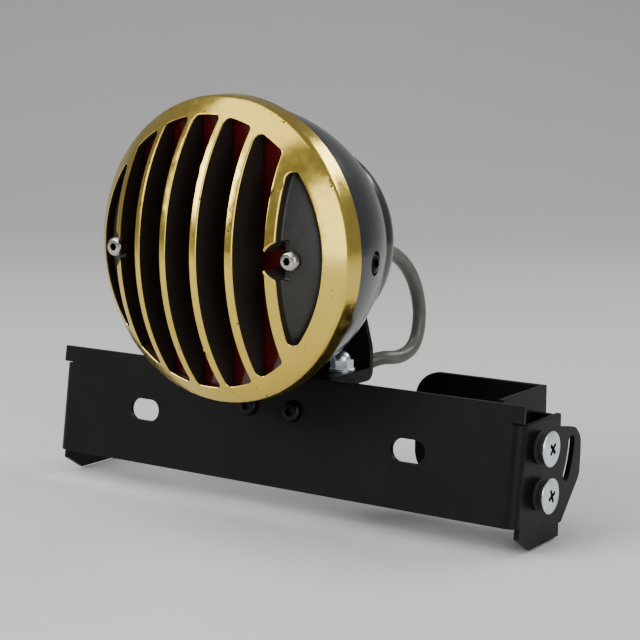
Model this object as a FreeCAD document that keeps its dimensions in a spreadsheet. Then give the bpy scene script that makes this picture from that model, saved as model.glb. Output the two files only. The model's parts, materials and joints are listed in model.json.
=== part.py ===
"""Round tail light behind a brass grille, on a number-plate bar with a one-sided mounting arm.

Millimetres and degrees. X runs along the bar, the lamp looks along -Y and Z is up. Every sub-part is drawn about
the bar datum, the middle of the bar's front top edge, and its Placement then moves it so that the row's origin is
the middle of the arm's foot, on the face that bolts to the machine.
"""
import FreeCAD
import Part
import Sketcher
import math
import os

V = FreeCAD.Vector

DIMENSIONS = {
    # where the foot's mounting face lies from the bar datum
    "foot_x": 80.0, "foot_y": 46.0, "foot_z": -25.0,
    # number-plate bar, a pressed sheet with an ear bent back at each end
    "bar_half": 126.0, "bar_gauge": 2.5, "bar_height": 51.1, "bar_tilt": 8.5, "bend_radius": 5.25,
    "tab_height": 7.7, "ear_start": 8.4, "ear_spare": 6.0, "ear_top": 8.8, "ear_rear": 34.0, "ear_bottom": 62.5,
    "ear_trim_front": -9.5, "ear_trim_height": 51.5, "ear_trim_angle": 33.0,
    "slot_spacing": 146.0, "slot_length": 17.0, "slot_width": 10.0, "slot_drop": 25.5,
    "bar_screw_spacing": 24.0, "bar_screw_drop": 16.0,
    # screws, spacers and nuts of the ear
    "ear_screw_y": 14.7, "ear_screw_upper": -20.0, "ear_screw_pitch": 20.0, "ear_shank": 3.0, "ear_hole": 3.2,
    "ear_head": 7.5, "ear_head_height": 1.3, "spacer_radius": 7.0, "spacer_waist": 6.0, "spacer_length": 4.9,
    "ear_washer": 6.4, "washer_gauge": 1.1, "ear_nut": 5.8, "ear_nut_height": 5.0, "pivot_play": 0.05,
    # side arm: lobed plate against the ear, side wall, cross wall and foot wall
    "arm_gauge": 2.5, "lobe_face": 123.2, "side_face": 113.0, "side_front": 6.0, "cross_front": 34.2,
    "foot_left": 48.0, "foot_corner": 13.0, "foot_hole": 4.25, "foot_spacing": 36.0, "arm_height": 50.0,
    "cross_top": 10.0, "lobe_top": 9.8, "lobe_front": 6.0, "lobe_rear": 60.2, "lobe_bottom": 60.0,
    "lobe_corner": 7.0, "lobe_shoulder": 18.8,
    "arc_radius": 36.2, "arc_width": 5.6, "arc_half_angle": 11.5, "arc_middle_angle": -19.0,
    "adjust_angle": 6.0, "adjust_width": 6.8,
    # lamp: axis height over the bar and the brass grille on the front of it
    "lamp_height": 58.5, "dome_radius": 88.0, "dome_front": 68.0, "crease_radius": 62.0, "crease_y": -42.5,
    "shoulder_radius": 65.6, "shoulder_y": -38.8, "ring_radius": 66.0, "ring_rear": -30.0, "skirt_bore": 60.5,
    "fin_rear": -42.0, "slot_circle": 57.5, "slot_corner": 2.2, "fin_pitch": 16.0, "fin_inner": 3.4,
    "fin_outer": 4.2, "recess_depth": 3.6, "blank_front": -76.0, "blank_flat": 30.0,
    "pocket_x": 45.5, "pocket_radius": 8.25, "pocket_floor": -50.5,
    "lens_screw_x": 46.0, "lens_screw_hole": 2.3, "lens_shank": 2.0, "lens_head": 4.5, "lens_head_height": 4.2,
    "lens_screw_end": -23.0,
    # lens, gasket, reflector, housing and rear cover
    "lens_radius": 60.1, "lens_front": -41.7, "lens_rear": -38.9, "gasket_bore": 54.0, "gasket_rear": -36.7,
    "flange_rear": -35.9, "flange_radius": 58.0, "bowl_mouth": 40.5,
    "bowl_end": 15.6, "bowl_back": -8.0, "socket_opening": 9.3, "bowl_floor": -8.9, "bowl_inner_end": 14.9,
    "bowl_inner_mouth": 39.4,
    "rim_shoulder": 63.0, "rim_y": -29.7, "housing_end": 45.7, "housing_rear": 21.0, "housing_bulge": 88.0,
    "rim_bore": 57.6, "end_bore": 43.2, "inner_bulge": 86.0, "lug_inner": 41.0, "lug_half": 4.6,
    "lug_front": -33.5, "lug_rear": -21.0, "lug_outer": 59.0,
    "plug_y": -10.0, "plug_drop": 4.0, "plug_seat": 58.0, "plug_head": 5.0, "plug_head_height": 2.7,
    "plug_shank": 2.5, "plug_length": 7.0, "play": 0.3,
    "cover_spigot": 42.9, "cover_front": 16.5, "cover_step": 21.3, "cover_radius": 44.9, "cover_turn": 25.0,
    "cover_flat": 39.5, "cover_rear": 35.0, "cover_bulge": 11.5, "cover_bore": 40.6, "cover_inside": 32.8,
    "cover_inner_flat": 37.6, "cover_inner_bulge": 10.0, "cover_inner_turn": 24.5,
    # bulb and its socket
    "base_radius": 7.6, "base_front": -9.5, "base_rear": 8.0, "globe_radius": 12.5, "globe_y": -22.0,
    "globe_neck": 7.0, "socket_bore": 7.7, "socket_radius": 8.7, "socket_front": -8.8, "socket_rear": 16.0,
    "socket_floor": 14.5, "socket_flange": 14.0, "flange_front": -7.9, "flange_back": -6.9,
    "contact_radius": 7.2, "contact_front": 8.1, "contact_rear": 9.6, "spring_radius": 4.5, "spring_wire": 0.45,
    "spring_rings": 4,
    # lamp bracket, shelf bracket and what joins them
    "steel": 3.0, "bracket_front": 35.3, "bracket_top": 46.0, "bracket_half": 28.6, "neck_half": 24.5,
    "neck_low": 9.0, "neck_high": 25.0, "shelf_front": 3.2, "shelf_drop": 25.0, "bend_outer": 4.5,
    "shelf_bolt_x": 21.5, "shelf_bolt_y": 23.0, "shelf_shank": 3.0, "shelf_hole": 3.25, "shelf_head": 5.77,
    "shelf_head_height": 4.0, "dome_nut": 5.2, "dome_nut_height": 3.8, "dome_cap": 4.1, "shelf_washer": 6.0,
    "shelf_washer_gauge": 1.2, "lamp_screw_x": 14.0, "lamp_screw_z": 36.0, "lamp_screw_shank": 2.5,
    "lamp_screw_head": 4.75, "lamp_screw_height": 2.75, "lamp_screw_length": 8.0,
    "bar_screw_shank": 2.5, "bar_screw_head": 4.75, "bar_screw_height": 2.75, "bar_screw_length": 13.0,
    "bar_nut": 4.6, "bar_nut_height": 4.0,
    # cable, its grommet, clip and connector
    "cable_radius": 3.3, "grommet_radius": 7.5, "grommet_neck": 5.5, "grommet_tail": 4.8, "grommet_front": 31.0,
    "grommet_rear": 43.0, "clip_radius": 4.9, "clip_width": 9.0, "clip_tab": 1.2, "clip_hole_y": 29.0,
    "clip_screw_shank": 2.0, "clip_screw_head": 3.6, "clip_screw_height": 2.4, "clip_nut": 3.6,
    "clip_nut_height": 3.0, "wire_radius": 0.9,
    "plug_body_length": 24.0, "plug_body_width": 15.0, "plug_body_height": 9.0, "boot_radius": 4.6,
    "boot_length": 9.0,
    # shares of a screw head's own size, and how far trimming tools reach
    "crown": 1.4, "truss_crown": 5.0, "socket_depth": 0.6, "hex_key": 0.42, "cross_long": 0.36, "cross_thin": 0.09,
    "cross_turn": 12.0, "slot_reach": 62.5, "ear_blank": 70.0, "trim_reach": 100.0, "ear_trim_start": 1.6,
    "spring_play": 0.05, "wire_pitch": 3.0, "wire_run": 3.3, "wire_across": 2.1, "wire_drift": 2.5,
}

# the cable's route from the grommet's mouth, round the loop behind the lamp and along the back of the bar
CABLE_ROUTE = [
    (24.0, 43.0, 53.5), (24.3, 55.0, 52.5), (25.0, 69.0, 46.0), (25.5, 80.0, 34.0), (25.5, 85.0, 18.0),
    (25.5, 80.5, 3.5), (25.0, 67.0, -0.5), (21.5, 54.0, 1.5), (12.0, 46.5, -5.0), (-1.0, 45.0, -12.5),
    (-17.0, 45.0, -14.5), (-30.0, 43.0, -20.5), (-43.0, 40.0, -24.5),
]

CLIP_RUN = 9  # the clip holds the run that starts at this point of the route
ARC_SHARE = 0.45  # how much of the shorter run beside a bend its arc takes up
FIN_EDGE = "2.5 * fin_pitch + fin_outer / 2"  # outer face of the last fin
BEHIND_FINS = "fin_rear + 1"

doc = FreeCAD.newDocument("TailLight")
sheet = doc.addObject("Spreadsheet::Sheet", "Dims")
subparts = []


def fill_sheet():
    """One row for each driving dimension: its name, its value and the alias that formulas use."""
    for row, (alias, value) in enumerate(DIMENSIONS.items(), start=1):
        sheet.set(f"A{row}", alias)
        sheet.set(f"B{row}", str(value))
        sheet.setAlias(f"B{row}", alias)
    doc.recompute()


def size(text):
    """The value of a cell, or of a formula written with cell names."""
    return float(sheet.evalExpression(formula(text)))


def formula(text):
    """Expression text with each known cell name pointed at the sheet."""
    words = str(text).split(" ")
    bare = [word.strip("-()") for word in words]
    return " ".join(word.replace(name, f"Dims.{name}") if name in DIMENSIONS else word
                    for word, name in zip(words, bare))


def bind(feature, **formulas):
    """Drive a feature's properties from the sheet."""
    for name, text in formulas.items():
        feature.setExpression(name, formula(text))
    return feature


def keep(feature, label, raise_by=0.0):
    """Name a finished sub-part and move it from the bar datum to the row's origin."""
    feature.Label = label
    shift = V(-size("foot_x"), -size("foot_y"), -size("foot_z") + raise_by)
    feature.Placement = FreeCAD.Placement(shift, FreeCAD.Rotation()).multiply(feature.Placement)
    subparts.append(feature)
    return feature


def place(feature, at, direction=(0, 0, 1)):
    """Stand a primitive at a point with its own Z along a direction."""
    feature.Placement = FreeCAD.Placement(V(*at), FreeCAD.Rotation(V(0, 0, 1), V(*direction)))
    return feature


def cylinder(radius, length, at, direction=(0, 0, 1)):
    """A cylinder from a point along a direction, its radius and length driven by formulas."""
    return place(bind(doc.addObject("Part::Cylinder", "Cylinder"), Radius=radius, Height=length), at, direction)


def hexagon(radius, length, at, direction=(0, 0, 1)):
    """A six-sided prism, for nuts, bolt heads and sockets."""
    prism = doc.addObject("Part::Prism", "Prism")
    prism.Polygon = 6
    return place(bind(prism, Circumradius=radius, Height=length), at, direction)


def sphere(radius, at, direction=(0, 0, 1)):
    return place(bind(doc.addObject("Part::Sphere", "Sphere"), Radius=radius), at, direction)


def box(low, high):
    """A box between two opposite corners whose coordinates are numbers or formulas."""
    block = doc.addObject("Part::Box", "Box")
    for name, bottom, top in zip(("Length", "Width", "Height"), low, high):
        bind(block, **{name: f"( {top} ) - ( {bottom} )"})
    return place(block, [size(bottom) for bottom in low])


def fuse(*features):
    joined = doc.addObject("Part::MultiFuse", "Fuse")
    joined.Shapes = list(features)
    joined.Refine = True
    return joined


def common(*features):
    overlap = doc.addObject("Part::MultiCommon", "Common")
    overlap.Shapes = list(features)
    return overlap


def cut(base, *tools):
    removed = doc.addObject("Part::Cut", "Cut")
    removed.Base = base
    removed.Tool = tools[0] if len(tools) == 1 else fuse(*tools)
    return removed


def group(*features):
    """Separate solids kept as one node."""
    gathered = doc.addObject("Part::Compound", "Group")
    gathered.Links = list(features)
    return gathered


def round_edges(feature, radius, wanted):
    """Fillet the edges of a feature that the test picks."""
    doc.recompute()
    rounded = doc.addObject("Part::Fillet", "Rounded")
    rounded.Base = feature
    picked = [number for number, edge in enumerate(feature.Shape.Edges, start=1) if wanted(edge)]
    rounded.Edges = [(number, size(radius), size(radius)) for number in picked]
    return rounded


def runs_along(edge, axis):
    """Whether an edge is straight and parallel to an axis."""
    if not isinstance(edge.Curve, Part.Line):
        return False
    return abs(edge.Curve.Direction.dot(V(*axis))) > 0.999


def arc_middle(start, end, radius):
    """The point halfway along an arc; a positive radius bulges to the right of the way from start to end."""
    chord = end - start
    half = chord.Length / 2
    rise = abs(radius) - math.sqrt(radius ** 2 - half ** 2)
    side = V(chord.y, -chord.x, 0).normalize()
    return (start + end) / 2 + side * math.copysign(rise, radius)


def end_number(sketch, index, point):
    """Which end of a sketch edge lies at a point."""
    return 1 if sketch.getPoint(index, 1).isEqual(point, 0.01) else 2


def pin_corner(sketch, index, end, point, corner):
    """Hold a corner across and along the sketch with distances that the sheet drives."""
    for way, letter, value, cell, axis in (("DistanceX", "x", point.x, corner[0], -2),
                                           ("DistanceY", "y", point.y, corner[1], -1)):
        if cell == "zero":
            sketch.addConstraint(Sketcher.Constraint("PointOnObject", index, end, axis))
            continue
        number = sketch.addConstraint(Sketcher.Constraint(way, -1, 1, index, end, value))
        sketch.renameConstraint(number, f"{letter}{index}")
        sketch.setExpression(f"Constraints.{letter}{index}", formula(cell))


def outline(sketch, corners):
    """A closed outline: each corner is two cells, and a third one is the bulge radius of the edge after it."""
    points = [V(*[0.0 if cell == "zero" else size(cell) for cell in corner[:2]], 0) for corner in corners]
    for index, corner in enumerate(corners):
        start, end = points[index], points[(index + 1) % len(points)]
        if len(corner) == 3:
            edge = Part.Arc(start, arc_middle(start, end, size(corner[2])), end)
        else:
            edge = Part.LineSegment(start, end)
        sketch.addGeometry(edge, False)
    for index, corner in enumerate(corners):
        before = (index - 1) % len(corners)
        own_end = end_number(sketch, index, points[index])
        far_end = end_number(sketch, before, points[index])
        sketch.addConstraint(Sketcher.Constraint("Coincident", before, far_end, index, own_end))
        pin_corner(sketch, index, own_end, points[index], corner)
        if len(corner) == 3:
            number = sketch.addConstraint(Sketcher.Constraint("Radius", index, abs(size(corner[2]))))
            sketch.renameConstraint(number, f"bulge{index}")
            sketch.setExpression(f"Constraints.bulge{index}", formula(corner[2].strip("-")))


def sketch_on(body, role):
    """A sketch on one of a body's own origin planes."""
    drawing = body.newObject("Sketcher::SketchObject", "Sketch")
    plane = [feature for feature in body.Origin.OriginFeatures if feature.Role == role][0]
    drawing.AttachmentSupport = [(plane, "")]
    drawing.MapMode = "FlatFace"
    return drawing


def span(side, near, far):
    """Lower and upper X between two distances from the middle, on the left (-1) or on the right (1)."""
    return (near, far) if side > 0 else (f"0 - ( {far} )", f"0 - ( {near} )")


def turned(corners):
    """A body of revolution drawn as half a section: across is the radius and along is Y."""
    body = doc.addObject("PartDesign::Body", "Body")
    section = sketch_on(body, "XY_Plane")
    outline(section, corners)
    spin = body.newObject("PartDesign::Revolution", "Revolution")
    spin.Profile = section
    spin.ReferenceAxis = (section, ["V_Axis"])
    spin.Angle = 360
    body.Tip = spin
    return body


def screw(at, direction, head, head_height, shank, length, socket):
    """A domed screw: its head stands on `at` towards the direction, its shank runs the other way."""
    way = V(*direction)
    top = V(*at) + way * size(head_height)
    ball = sphere(f"{head} * crown", tuple(top - way * size(f"{head} * crown")), direction)
    button = common(cylinder(head, head_height, at, direction), ball)
    body = fuse(button, cylinder(shank, length, at, tuple(-way)))
    floor = tuple(top - way * size(f"{head_height} * socket_depth"))
    return cut(body, hexagon(socket, head_height, floor, direction))


def truss_screw(at, head, head_height, shank, length):
    """A wide low-domed screw along +X with a cross recess."""
    outward = (1, 0, 0)
    top = V(*at) + V(size(head_height), 0, 0)
    ball_at = tuple(top - V(size(f"{head} * truss_crown"), 0, 0))
    button = common(cylinder(head, head_height, at, outward), sphere(f"{head} * truss_crown", ball_at, outward))
    body = fuse(button, cylinder(shank, length, at, (-1, 0, 0)))
    arms = [box((f"0 - {head_height} * socket_depth", f"0 - {head} * {wide}", f"0 - {head} * {tall}"),
                (head_height, f"{head} * {wide}", f"{head} * {tall}"))
            for wide, tall in (("cross_thin", "cross_long"), ("cross_long", "cross_thin"))]
    recess = fuse(*arms)
    recess.Placement = FreeCAD.Placement(top, FreeCAD.Rotation(V(*outward), size("cross_turn")))
    return cut(body, recess)


def nut(at, direction, radius, height, bore):
    """A hexagon nut standing on `at`."""
    return cut(hexagon(radius, height, at, direction), cylinder(bore, height, at, direction))


def washer(at, direction, radius, gauge, bore):
    return cut(cylinder(radius, gauge, at, direction), cylinder(bore, gauge, at, direction))


def lamp_centre(y=0.0):
    return (0.0, y, size("lamp_height"))


def lift_to_lamp(body, label):
    """Move a turned piece from the bar datum up to the lamp's axis."""
    return keep(body, label, raise_by=size("lamp_height"))


def fin_gaps():
    """The five open gaps between the six fins, each as formulas for its lower and upper X."""
    halves = ["fin_outer / 2"] + ["fin_inner / 2"] * 4 + ["fin_outer / 2"]
    return [(f"fin_pitch * {n - 2.5} + {halves[n]}", f"fin_pitch * {n - 1.5} - {halves[n + 1]}")
            for n in range(5)]


def slot_tool(low_x, high_x, depth_y):
    """A slot's cutter: a slab bounded by the slot circle, its long edges rounded."""
    slab = box((low_x, "blank_front", "lamp_height - slot_reach"),
               (high_x, depth_y, "lamp_height + slot_reach"))
    disc = cylinder("slot_circle", "0 - blank_front", lamp_centre(size("blank_front")), (0, 1, 0))
    return round_edges(common(slab, disc), "slot_corner", lambda edge: runs_along(edge, (0, 1, 0)))


def pocket_tools(side):
    """Cutters of one screw pocket: its floor, its opening through the outer fin and its screw hole."""
    front, height = size("blank_front"), size("lamp_height")
    pocket_at = (side * size("pocket_x"), front, height)
    fin_low, fin_high = span(side, f"{FIN_EDGE} - fin_outer - 1", FIN_EDGE)
    window = box((fin_low, front, "lamp_height - slot_reach"),
                 (fin_high, BEHIND_FINS, "lamp_height + slot_reach"))
    through = cylinder("pocket_radius", f"{BEHIND_FINS} - blank_front", pocket_at, (0, 1, 0))
    return [cylinder("pocket_radius", "pocket_floor - blank_front", pocket_at, (0, 1, 0)), common(through, window),
            cylinder("lens_screw_hole", "0 - blank_front", (side * size("lens_screw_x"), front, height), (0, 1, 0))]


def make_grille():
    """Domed brass ring with six upright fins, a blind recess at each side and two screw pockets."""
    blank = turned([("zero", "blank_front"), ("blank_flat", "blank_front"), ("crease_radius", "crease_y"),
                    ("shoulder_radius", "shoulder_y"), ("ring_radius", "ring_rear"), ("skirt_bore", "ring_rear"),
                    ("skirt_bore", "fin_rear"), ("zero", "fin_rear")])
    blank.Placement.Base = V(*lamp_centre())
    dome_centre = lamp_centre(size("dome_radius - dome_front"))
    domed = common(blank, sphere("dome_radius", dome_centre))
    tools = [slot_tool(low, high, BEHIND_FINS) for low, high in fin_gaps()]
    floor_ball = sphere("dome_radius - recess_depth", dome_centre)
    for side in (-1, 1):
        low, high = span(side, FIN_EDGE, "slot_reach")
        tools.append(cut(slot_tool(low, high, BEHIND_FINS), floor_ball))
        tools += pocket_tools(side)
    keep(cut(domed, *tools), "grille")


def lens_screw_holes(radius):
    """Cutters along Y where the two grille screws pass through the pieces behind the grille."""
    front, height = size("blank_front"), size("lamp_height")
    return [cylinder(radius, "0 - blank_front", (side * size("lens_screw_x"), front, height), (0, 1, 0))
            for side in (-1, 1)]


def make_lens_stack():
    """Red lens, its rubber gasket and the reflector bowl, clamped one behind the other in the housing's mouth."""
    lens = turned([("zero", "lens_front"), ("lens_radius", "lens_front"), ("lens_radius", "lens_rear"),
                   ("zero", "lens_rear")])
    lens.Placement.Base = V(*lamp_centre())
    keep(cut(lens, *lens_screw_holes("lens_screw_hole")), "lens")
    gasket = turned([("gasket_bore", "lens_rear"), ("lens_radius", "lens_rear"), ("lens_radius", "gasket_rear"),
                     ("gasket_bore", "gasket_rear")])
    lift_to_lamp(gasket, "lens_gasket")
    bowl = turned([("flange_radius", "gasket_rear"), ("flange_radius", "flange_rear"),
                   ("bowl_mouth", "flange_rear"), ("bowl_end", "bowl_back"), ("socket_opening", "bowl_back"),
                   ("socket_opening", "bowl_floor"), ("bowl_inner_end", "bowl_floor"),
                   ("bowl_inner_mouth", "gasket_rear")])
    bowl.Placement.Base = V(*lamp_centre())
    keep(cut(bowl, *lens_screw_holes("lens_screw_hole")), "reflector")


def make_housing():
    """Black bowl with a spigot for the ring, two screw lugs inside and a plug hole in each side."""
    shell = turned([("lens_radius", "flange_rear"), ("lens_radius", "rim_y"),
                    ("rim_shoulder", "rim_y", "housing_bulge"), ("housing_end", "housing_rear"),
                    ("end_bore", "housing_rear", "-inner_bulge"), ("rim_bore", "rim_y"),
                    ("rim_bore", "flange_rear")])
    shell.Placement.Base = V(*lamp_centre())
    lugs, tools = [], lens_screw_holes("lens_shank")
    for side in (-1, 1):
        low, high = span(side, "lug_inner", "lug_outer")
        lugs.append(box((low, "lug_front", "lamp_height - lug_half"),
                        (high, "lug_rear", "lamp_height + lug_half")))
        seat = plug_seat(side)
        inside = (seat[0] - side * size("plug_length"), seat[1], seat[2])
        tools.append(cylinder("plug_head + play", "plug_head_height * 3", seat, (side, 0, 0)))
        tools.append(cylinder("plug_shank", "plug_length", inside, (side, 0, 0)))
    keep(cut(fuse(shell, *lugs), *tools), "housing")


def plug_seat(side):
    return (side * size("plug_seat"), size("plug_y"), size("lamp_height - plug_drop"))


def cable_exit():
    """Where the cable leaves the grommet in the back of the lamp."""
    return V(*CABLE_ROUTE[0])


def make_rear_cover():
    """Pressed cover in the back of the housing, with holes for the lamp screws and the grommet."""
    shell = turned([("cover_spigot", "cover_front"), ("cover_spigot", "cover_step"), ("cover_radius", "cover_step"),
                    ("cover_radius", "cover_turn", "cover_bulge"), ("cover_flat", "cover_rear"),
                    ("zero", "cover_rear"), ("zero", "cover_inside"),
                    ("cover_inner_flat", "cover_inside", "-cover_inner_bulge"),
                    ("cover_bore", "cover_inner_turn"), ("cover_bore", "cover_front")])
    shell.Placement.Base = V(*lamp_centre())
    front = size("cover_front")
    tools = [cylinder("lamp_screw_shank", "cover_rear", (side * size("lamp_screw_x"), front, size("lamp_screw_z")),
                      (0, 1, 0)) for side in (-1, 1)]
    tools.append(cylinder("grommet_neck", "cover_rear", (cable_exit().x, front, cable_exit().z), (0, 1, 0)))
    keep(cut(shell, *tools), "rear_cover")


def make_lamp_screws():
    """Hex-socket screws of the grille, plug screws in the housing's sides and the screws behind the cover."""
    seats = [(side * size("lens_screw_x"), size("pocket_floor"), size("lamp_height")) for side in (-1, 1)]
    grille_screws = [screw(seat, (0, -1, 0), "lens_head", "lens_head_height", "lens_shank",
                           "lens_screw_end - pocket_floor", "lens_head * hex_key") for seat in seats]
    keep(group(*grille_screws), "grille_screws")
    plugs = [screw(plug_seat(side), (side, 0, 0), "plug_head", "plug_head_height", "plug_shank", "plug_length",
                   "plug_head * hex_key") for side in (-1, 1)]
    keep(group(*plugs), "side_screws")
    back = size("bracket_front + steel")
    lamp_screws = [screw((side * size("lamp_screw_x"), back, size("lamp_screw_z")), (0, 1, 0), "lamp_screw_head",
                         "lamp_screw_height", "lamp_screw_shank", "lamp_screw_length", "lamp_screw_head * hex_key")
                   for side in (-1, 1)]
    keep(group(*lamp_screws), "lamp_screws")


def make_bulb():
    """Bayonet bulb: a round glass globe on a metal base."""
    base = cylinder("base_radius", "base_rear - base_front", lamp_centre(size("base_front")), (0, 1, 0))
    keep(base, "bulb_base")
    neck = cylinder("globe_neck", "base_front - globe_y", lamp_centre(size("globe_y")), (0, 1, 0))
    keep(fuse(sphere("globe_radius", lamp_centre(size("globe_y"))), neck), "bulb_glass")


def make_socket():
    """Socket can with its flange behind the reflector, the sprung contact plate and its spring."""
    can = turned([("socket_bore", "socket_front"), ("socket_radius", "socket_front"),
                  ("socket_radius", "flange_front"), ("socket_flange", "flange_front"),
                  ("socket_flange", "flange_back"), ("socket_radius", "flange_back"),
                  ("socket_radius", "socket_rear"), ("zero", "socket_rear"), ("zero", "socket_floor"),
                  ("socket_bore", "socket_floor")])
    lift_to_lamp(can, "bulb_socket")
    plate_at = lamp_centre(size("contact_front"))
    keep(cylinder("contact_radius", "contact_rear - contact_front", plate_at, (0, 1, 0)), "contact_plate")
    make_contact_spring()


def make_contact_spring():
    """Spring between the contact plate and the socket's floor: rings joined at opposite sides in turn."""
    rings = int(size("spring_rings"))
    step = f"( socket_floor - contact_rear - 2 * spring_wire - 2 * spring_play ) / {rings - 1}"
    pieces = []
    for number in range(rings):
        ring_y = size(f"contact_rear + spring_wire + spring_play + {number} * {step}")
        ring = bind(doc.addObject("Part::Torus", "Torus"), Radius1="spring_radius", Radius2="spring_wire")
        pieces.append(place(ring, lamp_centre(ring_y), (0, 1, 0)))
        if number < rings - 1:
            side = 1 if number % 2 else -1
            link_at = (side * size("spring_radius"), ring_y, size("lamp_height"))
            pieces.append(cylinder("spring_wire * 0.9", step, link_at, (0, 1, 0)))
    keep(fuse(*pieces), "contact_spring")


def tube(route, radius):
    """A round tube along straight runs joined by arcs as large as the runs allow."""
    points = [V(*point) for point in route]
    edges = []
    start = points[0]
    for before, here, after in zip(points, points[1:], points[2:]):
        inward, onward = (here - before).normalize(), (after - here).normalize()
        reach = ARC_SHARE * min((here - before).Length, (after - here).Length)
        turn = inward.getAngle(onward)
        bend_radius = reach / math.tan(turn / 2)
        bend_start, bend_end = here - inward * reach, here + onward * reach
        inside = (onward - inward).normalize()
        middle = here + inside * (bend_radius / math.cos(turn / 2) - bend_radius)
        edges.append(Part.LineSegment(start, bend_start).toShape())
        edges.append(Part.Arc(bend_start, middle, bend_end).toShape())
        start = bend_end
        print(f"bend radius {bend_radius:.1f} mm")
    edges.append(Part.LineSegment(start, points[-1]).toShape())
    path = Part.Wire(edges)
    ring = Part.Wire(Part.makeCircle(radius, points[0], points[1] - points[0]))
    solid = path.makePipeShell([ring], True, False)
    expected = math.pi * radius ** 2 * path.Length
    print(f"tube length {path.Length:.1f} mm, volume over section times length {solid.Volume / expected:.4f}")
    return solid


def feature_of(shape):
    held = doc.addObject("Part::Feature", "Shape")
    held.Shape = shape
    return held


def make_cable():
    """Sleeved cable, its grommet in the rear cover, the clip under the bracket and the connector on its end."""
    sleeve = tube(CABLE_ROUTE, size("cable_radius"))
    keep(feature_of(sleeve), "cable")
    mouth = cable_exit()
    collar = cylinder("grommet_radius", "cover_inside - grommet_front", (mouth.x, size("grommet_front"), mouth.z),
                      (0, 1, 0))
    neck = cylinder("grommet_neck", "cover_rear - cover_inside", (mouth.x, size("cover_inside"), mouth.z),
                    (0, 1, 0))
    tail = bind(doc.addObject("Part::Cone", "Cone"), Radius1="grommet_radius - 1", Radius2="grommet_tail",
                Height="grommet_rear - cover_rear")
    place(tail, (mouth.x, size("cover_rear"), mouth.z), (0, 1, 0))
    keep(fuse(collar, neck, tail), "cable_grommet")
    make_connector()
    make_clip(sleeve)


def make_connector():
    """Small plug on the end of the cable, in line with its last run."""
    end, before = V(*CABLE_ROUTE[-1]), V(*CABLE_ROUTE[-2])
    way = (end - before).normalize()
    boot = cylinder("boot_radius", "boot_length", tuple(end), tuple(way))
    block = box(("0 - plug_body_height / 2", "0 - plug_body_width / 2", 0),
                ("plug_body_height / 2", "plug_body_width / 2", "plug_body_length"))
    along = FreeCAD.Placement(end + way * size("boot_length"), FreeCAD.Rotation(V(0, 0, 1), way))
    block.Placement = along.multiply(block.Placement)
    keep(fuse(boot, block), "connector")


def clip_centre():
    """Middle of the cable's run that the clip holds."""
    return (V(*CABLE_ROUTE[CLIP_RUN]) + V(*CABLE_ROUTE[CLIP_RUN + 1])) / 2


def make_clip(sleeve):
    """P-shaped clip: a band moulded to the cable and a tab screwed up under the bracket's foot."""
    way = (V(*CABLE_ROUTE[CLIP_RUN + 1]) - V(*CABLE_ROUTE[CLIP_RUN])).normalize()
    centre = clip_centre()
    half = size("clip_width / 2")
    band = cylinder("clip_radius", "clip_width", tuple(centre - way * half), tuple(way))
    low_x, high_x = centre.x - half, centre.x + half
    tab = box((low_x, "clip_hole_y - clip_width / 2", "0 - 2 * steel - clip_tab"),
              (high_x, centre.y, "0 - 2 * steel"))
    neck = box((low_x, centre.y - half / 2, centre.z), (high_x, centre.y + half / 2, "0 - 2 * steel"))
    hole = cylinder("clip_screw_shank", "clip_hole_y", (centre.x, size("clip_hole_y"), size("0 - steel * 4")))
    keep(cut(fuse(band, tab, neck), hole, feature_of(sleeve)), "cable_clip")


def bracket_plate():
    """The upright of the lamp bracket: wide at its foot, drawn in at the neck, its top corners rounded."""
    steel, half, neck = size("steel"), size("bracket_half"), size("neck_half")
    low, high, top = size("neck_low"), size("neck_high"), size("bracket_top")
    right = [V(half, 0, -2 * steel), V(half, 0, low), V(neck, 0, high), V(neck, 0, top)]
    left = [V(-corner.x, 0, corner.z) for corner in reversed(right)]
    rim = right + left + right[:1]
    plate = feature_of(Part.Face(Part.makePolygon(rim)).extrude(V(0, steel, 0)))
    plate.Placement.Base = V(0, size("bracket_front"), 0)
    return round_edges(plate, "foot_corner",
                       lambda edge: runs_along(edge, (0, 1, 0)) and edge.BoundBox.ZMin > low - 1)


def make_brackets():
    """Bent steel bracket behind the lamp and the shelf that ties it to the back of the bar."""
    rear, foot_low = size("bracket_front + steel"), size("0 - 2 * steel")
    foot = box(("0 - bracket_half", "shelf_bolt_y - 9", "0 - 2 * steel"),
               ("bracket_half", "bracket_front + steel", "0 - steel"))
    front, level = size("bracket_front - steel"), size("lamp_screw_z")
    screw_holes = [cylinder("lamp_screw_shank", "steel * 3", (side * size("lamp_screw_x"), front, level), (0, 1, 0))
                   for side in (-1, 1)]
    bent = round_edges(fuse(bracket_plate(), foot), "bend_outer", lambda edge: runs_along(edge, (1, 0, 0))
                       and abs(edge.BoundBox.ZMin - foot_low) < 0.1 and abs(edge.BoundBox.YMax - rear) < 0.1)
    keep(cut(bent, *shelf_holes(), clip_hole("clip_screw_shank"), *screw_holes), "lamp_bracket")
    make_shelf()


def bar_slope():
    """Tilt of the bar's sheet about the bar datum: its lower edge comes forward."""
    return FreeCAD.Placement(V(0, 0, 0), FreeCAD.Rotation(V(1, 0, 0), -size("bar_tilt")))


def shelf_holes():
    """Cutters for the two shelf bolts."""
    return [cylinder("shelf_hole", "steel * 4", (side * size("shelf_bolt_x"), size("shelf_bolt_y"),
                                                 size("0 - steel * 4"))) for side in (-1, 1)]


def clip_hole(radius):
    """Cutter over the clip's screw."""
    return cylinder(radius, "steel * 4", (clip_centre().x, size("clip_hole_y"), size("0 - steel * 4")))


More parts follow.
